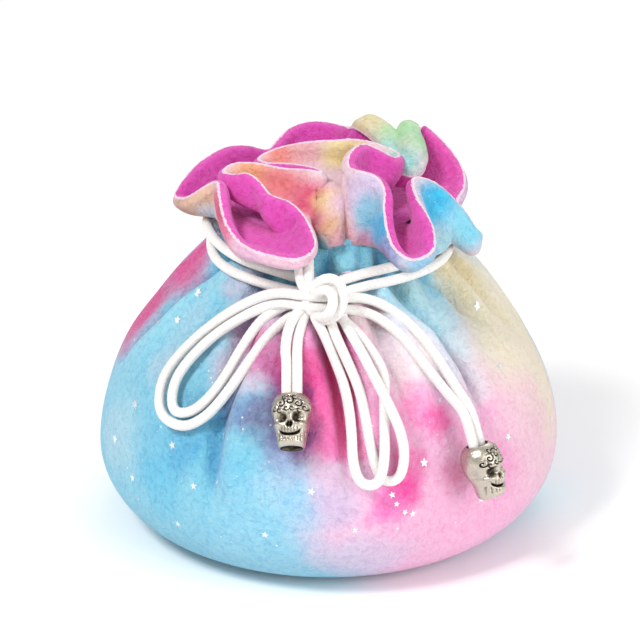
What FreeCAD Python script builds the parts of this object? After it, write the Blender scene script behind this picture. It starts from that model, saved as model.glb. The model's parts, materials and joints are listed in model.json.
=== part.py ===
"""Drawstring dice bag: two plush layers, a gathered mouth, two doubled drawstrings, two skull beads.

Frame: millimetres, +Z up, origin at the middle of the flat base.  The bow is at the front, on -Y.
"""
import FreeCAD
import Part

import math
import os

V = FreeCAD.Vector

# ---------------------------------------------------------------- driving dimensions

# Outer cloth of the filled bag, as a turned profile
BELLY_RADIUS = 75.0
CORNER_RADIUS = 26.0          # base corner; the belly is widest at this height
SHOULDER_RADIUS = 57.9        # arc above the belly
SHOULDER_TURN = math.radians(40.5)
NECK_RADIUS = 31.6
NECK_FILLET = 19.0            # hollow curve between shoulder and neck
CLOTH = 2.4                   # one plush layer with its pile pressed flat
LAYER_GAP = 0.2

# Mouth: both layers bunched in the drawstring channel
CHANNEL_BOTTOM = 94.6
CHANNEL_TOP = 102.8
NECK_TOP = 104.5
STITCH_BELOW = 0.9            # how far the rows of stitching lie outside the channel
STITCH_ABOVE = 0.6
THROAT_RADIUS = 12.0          # hole left by the bunched lining
THROAT_BOTTOM = 88.0
CHANNEL_RADIUS = 25.9         # outside of the bunched lining behind the cords

# Ruffle above the channel
FRILL_BOTTOM = 104.7
FRILL_LOFT_TOP = 122.0
RIM_FRONT_Z = 108.5           # the rim slopes from the front lips up to the back
RIM_BACK_Z = 119.5
RIM_HALF_DEPTH = 48.0
SEAM_GAP = 0.6                # seam allowance between the two layers at the rim
SEAM_DEPTH = 2.5
# height of each section, and how far it has opened from the neck to the full rim
FRILL_SECTIONS = [(FRILL_BOTTOM, 0.0), (107.5, 0.5), (112.0, 0.85), (117.0, 1.0), (FRILL_LOFT_TOP, 1.06)]
# azimuth in degrees (from +X, towards +Y) and radius of each fold of the rim
RIM_FOLDS = [(-162, 40), (-141, 46), (-120, 50), (-103, 40), (-90, 26), (-78, 38), (-60, 49), (-40, 41),
             (-17, 50), (5, 42), (28, 47), (47, 41), (68, 48), (84, 40), (101, 47), (124, 41), (150, 50),
             (176, 45)]

# Drawstrings: soft round cord
CORD_RADIUS = 1.6
PAIR_HALF_SPACING = 1.7
CASING_RADIUS = 27.6
CASING_BEND = 2.6
LEFT_CASING_Z = 100.4
RIGHT_CASING_Z = 96.9
LEFT_EXIT_X = -32.2
RIGHT_EXIT_X = 33.6
SLOT_HALF_WIDTH = 4.3
SLOT_HALF_HEIGHT = 2.0
BUTTONHOLE_RIM = 1.1
BUTTONHOLE_PROUD = 0.7
THREAD_RADIUS = 0.4

# Bow knot
KNOT_CENTRE = V(-2.0, -46.4, 90.3)
KNOT_HALF_WIDTH = 7.6
KNOT_HALF_THICKNESS = 6.3
KNOT_ROUNDING = 5.5

# Skull beads and the cord ends knotted inside them
BEAD_HALF_WIDTH = 6.3
BEAD_HALF_DEPTH = 6.6
CRANIUM_HALF_HEIGHT = 6.2
CRANIUM_LIFT = 2.1
JAW_HALF_WIDTH = 4.9
JAW_HALF_DEPTH = 5.2
JAW_BOTTOM = -8.3
BORE_RADIUS = 3.4
POCKET_RADIUS = 4.05
POCKET_TOP = -1.2
END_KNOT_RADIUS = 3.8
END_KNOT_TOP = -1.5
END_KNOT_BOTTOM = -6.2
END_KNOT_ROUNDING = 0.9
TAIL_HALF_SPACING = 1.62
TAIL_STRAIGHT = 18.5          # straight stretch of tail above a bead's centre

# centre of each bead, the way its tail leaves upwards, and the way its face looks
BEADS = {
    "left": (V(-11.1, -71.2, 61.3), V(0.0, 0.645, 0.764), V(-0.12, -0.76, 0.64)),
    "right": (V(47.5, -65.0, 42.2), V(-0.27, 0.22, 0.937), V(0.76, -0.60, 0.25)),
}

# Corners of each strand's route: round the neck, round its bow loop, and down its tail.
# A stretch starts and ends inside the bow knot; a tail goes on into its bead.
ROUTES = {
    "left_cord_a": {
        "neck": [(LEFT_EXIT_X, 1.7, 100.4), (-38.8, 1.4, 100.2), (-38.4, -7.6, 99.4), (-34.6, -17.0, 97.4),
                 (-27.4, -26.2, 96.0), (-17.9, -33.2, 95.4), (-8.8, -38.6, 94.6), (0.5, -42.4, 93.6)],
        "loop": [(1.5, -48.4, 92.4), (-7.0, -48.8, 93.0), (-16.4, -43.8, 92.6), (-26.5, -39.0, 86.4),
                 (-37.2, -36.9, 77.8), (-46.2, -37.2, 69.0), (-52.2, -41.2, 61.4), (-52.6, -48.4, 53.2),
                 (-45.2, -55.0, 51.4), (-37.6, -57.8, 56.4), (-31.0, -56.5, 64.0), (-24.8, -52.2, 72.2),
                 (-18.6, -47.6, 79.6), (-11.5, -44.8, 85.0), (-4.0, -46.4, 88.8)],
        "tail": [(4.0, -44.4, 90.8), (12.4, -42.2, 89.6), (20.0, -42.0, 85.4), (27.2, -43.4, 79.4),
                 (33.2, -46.6, 72.2), (38.6, -52.4, 65.0)],
        "bead": ("right", 1.0),
    },
    "left_cord_b": {
        "neck": [(LEFT_EXIT_X, -1.7, 100.4), (-36.2, -2.6, 99.0), (-37.4, -7.4, 95.0), (-36.2, -16.2, 92.9),
                 (-30.8, -26.0, 92.0), (-21.6, -34.2, 91.6), (-11.8, -39.4, 91.0), (-3.0, -42.8, 90.0)],
        "loop": [(0.5, -47.6, 88.4), (-7.0, -47.8, 89.8), (-16.4, -43.2, 88.8), (-26.0, -40.9, 83.2),
                 (-35.4, -40.1, 76.4), (-43.4, -41.4, 68.6), (-48.2, -44.6, 61.8), (-48.4, -50.8, 55.2),
                 (-42.6, -54.2, 56.2), (-36.6, -54.6, 61.4), (-31.0, -51.6, 68.4), (-25.8, -46.4, 76.6),
                 (-20.0, -43.2, 83.8), (-12.6, -42.8, 88.0), (-4.5, -43.6, 88.6)],
        "tail": [(4.6, -45.8, 87.4), (12.0, -44.9, 86.2), (18.8, -45.4, 82.0), (24.8, -47.4, 76.2),
                 (30.4, -50.8, 69.8), (36.4, -55.8, 63.6)],
        "bead": ("right", -1.0),
    },
    "right_cord_a": {
        "neck": [(RIGHT_EXIT_X, 1.7, 96.9), (40.4, 1.6, 97.2), (40.2, -7.4, 98.0), (36.0, -17.0, 97.0),
                 (28.8, -25.8, 96.2), (18.9, -33.2, 96.0), (9.6, -38.0, 95.8), (1.5, -41.8, 94.4)],
        "loop": [(-4.4, -45.6, 92.0), (-4.6, -48.8, 86.6), (-1.6, -50.6, 81.8), (1.9, -54.8, 74.6),
                 (5.2, -60.8, 67.6), (6.9, -67.6, 58.4), (7.2, -74.6, 49.0), (9.6, -77.4, 43.2),
                 (15.2, -77.6, 43.2), (17.0, -73.8, 50.0), (16.9, -67.0, 58.0), (16.9, -61.4, 64.8),
                 (17.2, -56.8, 70.4), (13.6, -52.2, 76.0), (7.8, -48.6, 82.4), (1.5, -47.2, 86.8)],
        "tail": [(-4.2, -46.0, 89.4), (-9.8, -47.6, 87.4), (-12.6, -52.0, 82.8), (-13.2, -56.8, 77.8)],
        "bead": ("left", -1.0),
    },
    "right_cord_b": {
        "neck": [(RIGHT_EXIT_X, -1.7, 96.9), (37.4, -2.6, 95.8), (38.8, -8.4, 93.2), (35.8, -18.6, 92.6),
                 (28.9, -28.2, 92.5), (19.4, -35.4, 92.5), (10.6, -39.6, 92.4), (1.0, -44.0, 91.0)],
        "loop": [(-1.0, -44.8, 90.8), (0.9, -50.0, 83.6), (5.0, -56.2, 76.4), (9.2, -60.8, 68.2),
                 (11.2, -65.4, 60.4), (12.6, -69.8, 52.2), (15.6, -74.2, 42.8), (21.4, -73.2, 42.6),
                 (23.2, -70.8, 49.2), (22.0, -70.2, 57.2), (18.6, -67.4, 64.4),
                 (14.4, -62.4, 71.2), (9.6, -55.8, 78.4), (5.0, -49.8, 84.4), (3.4, -46.2, 88.0)],
        "tail": [(-4.0, -43.8, 90.4), (-7.0, -46.8, 86.6), (-9.3, -51.2, 81.4), (-9.6, -56.2, 77.2)],
        "bead": ("left", 1.0),
    },
}


# ---------------------------------------------------------------- helpers

def arc(start, middle, end):
    return Part.Arc(start, middle, end).toShape()


def line(start, end):
    return Part.makeLine(start, end)


def turned(edges):
    """A solid turned about Z from edges in the XZ plane that close on themselves."""
    face = Part.Face(Part.Wire(edges))
    return face.revolve(V(0, 0, 0), V(0, 0, 1), 360)


def on_circle(centre, radius, angle):
    """A point in the XZ plane on a circle, at an angle from +X towards +Z."""
    return centre + V(radius * math.cos(angle), 0, radius * math.sin(angle))


def bag_solid(inset):
    """The filled bag's turned outline, moved inwards by inset."""
    corner_centre = V(BELLY_RADIUS - CORNER_RADIUS, 0, CORNER_RADIUS)
    shoulder_centre = V(BELLY_RADIUS - SHOULDER_RADIUS, 0, CORNER_RADIUS)
    neck_centre = V(NECK_RADIUS + NECK_FILLET, 0, NECK_TOP)
    corner = CORNER_RADIUS - inset
    shoulder = SHOULDER_RADIUS - inset
    hollow = NECK_FILLET + inset
    base_middle = V(0, 0, inset)
    base_edge = on_circle(corner_centre, corner, -math.pi / 2)
    belly = on_circle(corner_centre, corner, 0)
    shoulder_end = on_circle(shoulder_centre, shoulder, SHOULDER_TURN)
    hollow_start = on_circle(neck_centre, hollow, math.pi + SHOULDER_TURN)
    neck_end = on_circle(neck_centre, hollow, math.pi)
    top_middle = V(0, 0, NECK_TOP)
    return turned([
        line(base_middle, base_edge),
        arc(base_edge, on_circle(corner_centre, corner, -math.pi / 4), belly),
        arc(belly, on_circle(shoulder_centre, shoulder, SHOULDER_TURN / 2), shoulder_end),
        line(shoulder_end, hollow_start),
        arc(hollow_start, on_circle(neck_centre, hollow, math.pi + SHOULDER_TURN / 2), neck_end),
        line(neck_end, top_middle),
        line(top_middle, base_middle),
    ])


def slot_prism(x, z, grow, depth):
    """A round-ended bar along X that cuts or rims a buttonhole."""
    half_height = SLOT_HALF_HEIGHT + grow
    half_straight = SLOT_HALF_WIDTH - SLOT_HALF_HEIGHT
    start = x - depth / 2
    bar = Part.makeBox(depth, 2 * half_straight, 2 * half_height, V(start, -half_straight, z - half_height))
    for side in (-half_straight, half_straight):
        bar = bar.fuse(Part.makeCylinder(half_height, depth, V(start, side, z), V(1, 0, 0)))
    return bar.removeSplitter()


def ring(radius, z, thickness):
    return Part.makeTorus(radius, thickness, V(0, 0, z))


def neck_radius_at(z):
    """Outside radius of the outer cloth in the hollow below the neck."""
    drop = NECK_TOP - z
    return NECK_RADIUS + NECK_FILLET - math.sqrt(NECK_FILLET ** 2 - drop ** 2)


def tube(edges, radius):
    """A round tube swept along edges that are tangent to each other."""
    path = Part.Wire(edges)
    first = edges[0]
    start = first.valueAt(first.FirstParameter)
    heading = first.tangentAt(first.FirstParameter)
    section = Part.Wire(Part.makeCircle(radius, start, heading))
    return path.makePipeShell([section], True, True)


def rounded_route(points):
    """Straight runs joined by tangent arcs, each as large as its two runs allow, and the arc radii."""
    edges = []
    radii = []
    last = points[0]
    for before, corner, after in zip(points, points[1:], points[2:]):
        run_in = corner - before
        run_out = after - corner
        turn = run_in.getAngle(run_out)
        setback = 0.45 * min(run_in.Length, run_out.Length)
        heading_in = V(run_in).normalize()
        heading_out = V(run_out).normalize()
        radius = setback / math.tan(turn / 2)
        start = corner - heading_in * setback
        end = corner + heading_out * setback
        inward = V(heading_out - heading_in).normalize()
        middle = corner + inward * (radius / math.cos(turn / 2) - radius)
        edges.append(line(last, start))
        edges.append(arc(start, middle, end))
        radii.append(radius)
        last = end
    edges.append(line(last, points[-1]))
    return edges, radii


def placed(shape, centre, up, front):
    """Moves a shape modelled with +Z up and its face on -Y to a bead's place."""
    z_axis = V(up).normalize()
    x_axis = z_axis.cross(V(front)).normalize()
    y_axis = z_axis.cross(x_axis)
    moved = shape.copy()
    moved.transformShape(FreeCAD.Matrix(
        x_axis.x, y_axis.x, z_axis.x, centre.x,
        x_axis.y, y_axis.y, z_axis.y, centre.y,
        x_axis.z, y_axis.z, z_axis.z, centre.z,
        0, 0, 0, 1))
    return moved


def ellipsoid(half_x, half_y, half_z, centre):
    matrix = FreeCAD.Matrix()
    matrix.scale(half_x, half_y, half_z)
    matrix.move(centre)
    return Part.makeSphere(1.0).transformGeometry(matrix)


# ---------------------------------------------------------------- cloth

def outer_body():
    """Printed plush from the base to the top of the channel, with a buttonhole on each side."""
    shell = bag_solid(0).cut(bag_solid(CLOTH))
    mouth = Part.makeCylinder(NECK_RADIUS - CLOTH, 2 * CLOTH, V(0, 0, NECK_TOP - CLOTH))
    shell = shell.cut(mouth)
    for x, z in ((LEFT_EXIT_X, LEFT_CASING_Z), (RIGHT_EXIT_X, RIGHT_CASING_Z)):
        shell = shell.cut(slot_prism(x, z, 0, 4 * CLOTH))
    return shell


def lining_body():
    """Plain plush lining inside the outer cloth, up to the bunched throat."""
    shell = bag_solid(CLOTH + LAYER_GAP).cut(bag_solid(2 * CLOTH))
    above = Part.makeCylinder(BELLY_RADIUS, NECK_TOP, V(0, 0, THROAT_BOTTOM - LAYER_GAP))
    return shell.cut(above)


def lining_throat():
    """The lining bunched into pleats inside the channel, with a groove that the cords run in."""
    inner_wall = NECK_RADIUS - CLOTH - LAYER_GAP
    block = bag_solid(CLOTH + LAYER_GAP)
    below = Part.makeCylinder(BELLY_RADIUS, THROAT_BOTTOM, V(0, 0, 0))
    hole = Part.makeCylinder(THROAT_RADIUS, NECK_TOP, V(0, 0, THROAT_BOTTOM - 1))
    lip = Part.makeCone(THROAT_RADIUS, THROAT_RADIUS + 4.0, 4.0, V(0, 0, NECK_TOP - 4.0))
    groove = Part.makeCylinder(BELLY_RADIUS, CHANNEL_TOP - CHANNEL_BOTTOM, V(0, 0, CHANNEL_BOTTOM))
    groove = groove.cut(Part.makeCylinder(CHANNEL_RADIUS, NECK_TOP, V(0, 0, CHANNEL_BOTTOM - 1)))
    upper = Part.makeCylinder(BELLY_RADIUS, NECK_TOP, V(0, 0, CHANNEL_TOP))
    upper = upper.cut(Part.makeCylinder(inner_wall, 2 * NECK_TOP, V(0, 0, 0)))
    return block.cut(below).cut(hole).cut(lip).cut(groove).cut(upper)


def fold_wire(z, opening, inset):
    """One closed wavy section of the ruffle."""
    points = []
    for azimuth, rim_radius in RIM_FOLDS:
        radius = NECK_RADIUS + (rim_radius - NECK_RADIUS) * opening - inset
        angle = math.radians(azimuth)
        points.append(V(radius * math.cos(angle), radius * math.sin(angle), z))
    curve = Part.BSplineCurve()
    curve.interpolate(Points=points, PeriodicFlag=True)
    return Part.Wire(curve.toShape())


def frill_loft(inset):
    wires = [fold_wire(z, opening, inset) for z, opening in FRILL_SECTIONS]
    return Part.makeLoft(wires, True, False)


def below_rim(drop):
    """A block whose sloping top is the rim plane, lowered by drop."""
    front = V(-BELLY_RADIUS, -RIM_HALF_DEPTH, RIM_FRONT_Z - drop)
    slope = (RIM_BACK_Z - RIM_FRONT_Z) / (2 * RIM_HALF_DEPTH)
    near = front + V(0, -10.0, -10.0 * slope)
    far = front + V(0, 2 * RIM_HALF_DEPTH + 10.0, (2 * RIM_HALF_DEPTH + 10.0) * slope)
    floor_z = FRILL_BOTTOM - 10.0
    outline = Part.makePolygon([near, far, V(far.x, far.y, floor_z), V(near.x, near.y, floor_z), near])
    return Part.Face(outline).extrude(V(2 * BELLY_RADIUS, 0, 0))


def frill_layer(outer_inset, inner_inset):
    return frill_loft(outer_inset).cut(frill_loft(inner_inset)).common(below_rim(0))


def rim_seam():
    """Seam allowance that joins the two layers along the top of the ruffle."""
    band = frill_loft(CLOTH).common(below_rim(0)).cut(below_rim(SEAM_DEPTH))
    return band.cut(frill_loft(CLOTH + SEAM_GAP))


# ---------------------------------------------------------------- cords

def buttonhole(x, z):
    """Whipped thread edge round a cord exit, proud of the outer cloth."""
    collar = slot_prism(x, z, BUTTONHOLE_RIM, 3 * CLOTH).cut(slot_prism(x, z, 0, 4 * CLOTH))
    return collar.common(bag_solid(-BUTTONHOLE_PROUD).cut(bag_solid(0)))


def casing_cord(exit_x, z):
    """The hidden length of one drawstring: in through its slot, once round the neck, and out again."""
    side = math.copysign(1.0, exit_x)
    bend_y = PAIR_HALF_SPACING + CASING_BEND
    bend_x = math.sqrt((CASING_RADIUS + CASING_BEND) ** 2 - bend_y ** 2)
    shrink = CASING_RADIUS / (CASING_RADIUS + CASING_BEND)
    upper = []
    for hand in (1.0, -1.0):
        centre = V(side * bend_x, hand * bend_y, z)
        on_ring = V(side * bend_x * shrink, hand * bend_y * shrink, z)
        on_line = V(side * bend_x, hand * PAIR_HALF_SPACING, z)
        towards = V(on_ring - centre).normalize() + V(on_line - centre).normalize()
        bend_middle = centre + V(towards).normalize() * CASING_BEND
        upper.append((on_ring, bend_middle, on_line, V(exit_x, hand * PAIR_HALF_SPACING, z)))
    first, last = upper
    return tube([
        line(first[3], first[2]),
        arc(first[2], first[1], first[0]),
        arc(first[0], V(-side * CASING_RADIUS, 0, z), last[0]),
        arc(last[0], last[1], last[2]),
        line(last[2], last[3]),
    ], CORD_RADIUS)


def rounded_puck(radius, bottom, top, rounding):
    """A cylinder along Z with both of its round edges filleted."""
    puck = Part.makeCylinder(radius, top - bottom, V(0, 0, bottom))
    return puck.makeFillet(rounding, [puck.Edges[0], puck.Edges[2]])


def bow_knot():
    """The lump of the tied bow: a flattened ball lying on the slope below the neck."""
    knot = rounded_puck(KNOT_HALF_WIDTH, -KNOT_HALF_THICKNESS, KNOT_HALF_THICKNESS, KNOT_ROUNDING)
    knot.rotate(V(0, 0, 0), V(1, 0, 0), 90.0 - math.degrees(SHOULDER_TURN))
    knot.translate(KNOT_CENTRE)
    return knot


def tail_end(bead, hand):
    """The two ends of a tail's straight stretch: above its bead, and on the knot inside it."""
    centre, up, front = BEADS[bead]
    up = V(up).normalize()
    sideways = up.cross(front).normalize() * (hand * TAIL_HALF_SPACING)
    return [centre + sideways + up * TAIL_STRAIGHT, centre + sideways + up * END_KNOT_TOP]


def strand(name, knot):
    """One strand outside the bow knot: neck, loop and tail, each cut off at the knot's face."""
    route = ROUTES[name]
    stretches = []
    length = 0.0
    for part_name in ("neck", "loop", "tail"):
        points = [V(*point) for point in route[part_name]]
        if part_name == "tail":
            points += tail_end(*route["bead"])
        edges, radii = rounded_route(points)
        solid = tube(edges, CORD_RADIUS)
        path_length = sum(edge.Length for edge in edges)
        swept = math.pi * CORD_RADIUS ** 2 * path_length
        length += path_length
        print(name, part_name, "radii", [round(radius, 1) for radius in radii],
              "length", round(path_length, 1), "volume ratio", round(solid.Volume / swept, 4))
        for piece in solid.cut(knot).Solids:
            if not knot.isInside(piece.CenterOfMass, 0.01, True):
                stretches.append(piece)
    print(name, "total", round(length, 1), "pieces", len(stretches))
    return Part.makeCompound(stretches)


# ---------------------------------------------------------------- beads

def skull():
    """A plain skull-shaped bead, +Z up and face on -Y, bored along Z."""
    cranium = ellipsoid(BEAD_HALF_WIDTH, BEAD_HALF_DEPTH, CRANIUM_HALF_HEIGHT, V(0, 0, CRANIUM_LIFT))
    jaw = ellipsoid(JAW_HALF_WIDTH * 1.12, JAW_HALF_DEPTH * 1.12, 8.0, V(0, -0.4, -3.0))
    jaw = jaw.common(Part.makeBox(20, 20, 20, V(-10, -10, JAW_BOTTOM)))
    head = cranium.fuse(jaw)
    bore = Part.makeCylinder(BORE_RADIUS, 20.0, V(0, 0, -10.0))
    pocket = Part.makeCylinder(POCKET_RADIUS, 10.0 + POCKET_TOP, V(0, 0, -10.0))
    head = head.cut(bore).cut(pocket)
    for side in (-1, 1):
        head = head.cut(Part.makeSphere(1.5, V(side * 2.3, -6.2, 1.4)))
        head = head.cut(Part.makeSphere(2.4, V(side * 7.6, -1.2, 1.2)))
    nose = Part.makeCone(0.9, 0.2, 2.0, V(0, -6.6, -1.6))
    return head.cut(nose)


def end_knot():
    """The doubled tail's knotted end, inside the bead."""
    return rounded_puck(END_KNOT_RADIUS, END_KNOT_BOTTOM, END_KNOT_TOP, END_KNOT_ROUNDING)


# ---------------------------------------------------------------- build

def build():
    knot = bow_knot()
    lining_outside = CLOTH + SEAM_GAP
    stitch_low = CHANNEL_BOTTOM - STITCH_BELOW
    stitch_high = CHANNEL_TOP + STITCH_ABOVE
    nodes = {
        "outer_body": outer_body(),
        "outer_frill": frill_layer(0, CLOTH),
        "lining_body": lining_body(),
        "lining_throat": lining_throat(),
        "lining_frill": frill_layer(lining_outside, lining_outside + CLOTH),
        "rim_seam": rim_seam(),
        "channel_stitch_lower": ring(neck_radius_at(stitch_low), stitch_low, THREAD_RADIUS),
        "channel_stitch_upper": ring(neck_radius_at(stitch_high), stitch_high, THREAD_RADIUS),
        "buttonhole_left": buttonhole(LEFT_EXIT_X, LEFT_CASING_Z),
        "buttonhole_right": buttonhole(RIGHT_EXIT_X, RIGHT_CASING_Z),
        "casing_cord_left": casing_cord(LEFT_EXIT_X, LEFT_CASING_Z),
        "casing_cord_right": casing_cord(RIGHT_EXIT_X, RIGHT_CASING_Z),
        "bow_knot": knot,
    }
    for name in ROUTES:
        nodes[name] = strand(name, knot)
    for side, (centre, up, front) in BEADS.items():
        nodes["skull_bead_" + side] = placed(skull(), centre, up, front)
        nodes["end_knot_" + side] = placed(end_knot(), centre, up, front)
    return nodes


os.makedirs("parts", exist_ok=True)
for node_name, shape in build().items():
    shape.exportStep("parts/" + node_name + ".step")
    box = shape.BoundBox
    print(node_name, "valid", shape.isValid(), "solids", len(shape.Solids), "volume", round(shape.Volume, 1),
          "x", round(box.XMin, 1), round(box.XMax, 1), "y", round(box.YMin, 1), round(box.YMax, 1),
          "z", round(box.ZMin, 1), round(box.ZMax, 1))
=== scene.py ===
"""Looks of the drawstring dice bag: plush cloth, ruffle, cords and skull beads, built round the CAD frame."""
import json
import math

import bpy
import numpy as np
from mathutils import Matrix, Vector

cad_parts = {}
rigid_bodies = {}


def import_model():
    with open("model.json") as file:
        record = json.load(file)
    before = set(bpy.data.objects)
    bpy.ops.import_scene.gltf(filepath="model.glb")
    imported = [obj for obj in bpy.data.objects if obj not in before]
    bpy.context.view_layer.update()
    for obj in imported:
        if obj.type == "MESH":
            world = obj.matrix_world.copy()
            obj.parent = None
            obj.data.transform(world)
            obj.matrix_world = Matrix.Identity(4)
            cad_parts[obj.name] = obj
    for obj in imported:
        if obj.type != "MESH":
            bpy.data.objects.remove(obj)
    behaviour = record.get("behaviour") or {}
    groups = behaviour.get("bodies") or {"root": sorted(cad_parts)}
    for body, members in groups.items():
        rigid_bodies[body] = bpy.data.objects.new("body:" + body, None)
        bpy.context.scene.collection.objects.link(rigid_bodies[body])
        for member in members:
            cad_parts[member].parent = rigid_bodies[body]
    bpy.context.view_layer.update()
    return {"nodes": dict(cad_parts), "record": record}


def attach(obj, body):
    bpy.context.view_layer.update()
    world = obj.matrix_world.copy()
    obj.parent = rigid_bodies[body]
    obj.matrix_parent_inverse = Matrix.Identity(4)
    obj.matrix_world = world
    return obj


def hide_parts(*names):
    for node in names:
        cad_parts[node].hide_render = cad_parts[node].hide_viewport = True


for leftover in list(bpy.data.objects):
    bpy.data.objects.remove(leftover)
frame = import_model()

MM = 0.001
TURN = math.tau

# ---------------------------------------------------------------- driving sizes, in millimetres

CORNER_RADIUS = 26.0
BASE_RADIUS = 49.0
SHOULDER_RADIUS = 57.9
SHOULDER_TURN = math.radians(40.5)
BELLY_RADIUS = 75.0
NECK_RADIUS = 31.6
NECK_FILLET = 19.0
NECK_TOP = 104.5
CHANNEL_LOW = 94.0
CHANNEL_HIGH = 103.2
CLOTH = 2.3
LAYER_GAP = 0.15
CORD_RADIUS = 1.6
VIEW_DROP = math.radians(23.0)
VIEW_DISTANCE = 900.0
VIEW_AIM = (-2.6, 1.58637, 63.73725)
VIEW_LENS = 155.9
TAIL_HALF_SPACING = 1.62
# heights above a bead's centre: where its tail comes straight, a place lower on the tail, the tail's end
TAIL_HEIGHTS = (19.5, 11.5, -1.5)
# what the cloth gives way to behind a bead: the stretch of the tail it turns and slides on, and its reach
BEAD_SWEEP = (-2.0, 10.0)
BEAD_REACH = 7.4
HOLLOW_EASE = 3.0
# shares of the creases' listed depths and widths, and the height of the gathers
CREASE_DEPTH = 1.6
CREASE_WIDTH = 0.9
GATHER_HEIGHT = 4.6
# radius of a bead's bore, and the heights of its top and foot from its centre
BEAD_BORE = 3.45
BEAD_TOP = 8.25
BEAD_FOOT = -8.3
# the fuzzy edge of the ruffle: its radius, how far in from the rim it lies, and its sides
EDGE_RADIUS = 0.62
EDGE_SET_IN = 0.5
EDGE_SIDES = 14
# a stitch's radius, and how far it reaches each way as a share of the stitches' spacing
STITCH_RADIUS = 0.42
STITCH_SHARE = 0.36
# how far the foil prints lie above the cloth's face, and the share of their listed sizes
FOIL_LIFT = 0.12
FOIL_SCALE = 0.62
# inner corners of a five- and an eight-pointed star, as shares of its reach
STAR_WAISTS = {5: 0.42, 8: 0.30}
PAIR_HALF_SPACING = 1.7
# how far below the neck's top the ruffle starts, how often it is evened out, and how much its rim then moves
RUFFLE_SINK = 1.2
RELAX_ROUNDS = 12
RIM_GIVE = 0.15
# the throat lining's radii at its top, its tightest place and its foot, and its height at the top
THROAT_RADII = (30.4, 7.2, 16.0)
THROAT_TOP = 105.4
CASING_RADIUS = 27.6
CASING_BEND = 2.6
SLOT_HALF_WIDTH = 4.3
SLOT_HALF_HEIGHT = 2.0
SLOT_DEPTH = 2.4
EDGE_THREAD = 0.7
# x where each drawstring leaves its buttonhole, and its height
BUTTONHOLES = {"left": (-32.2, 100.4), "right": (33.6, 96.9)}

# centre of each bead, the way its tail leaves upwards, and the way its face looks
BEADS = {
    "left": ((-11.1, -71.2, 61.3), (0.0, 0.645, 0.764), (-0.12, -0.76, 0.64)),
    "right": ((47.5, -65.0, 42.2), (-0.27, 0.22, 0.937), (0.76, -0.60, 0.25)),
}

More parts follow.
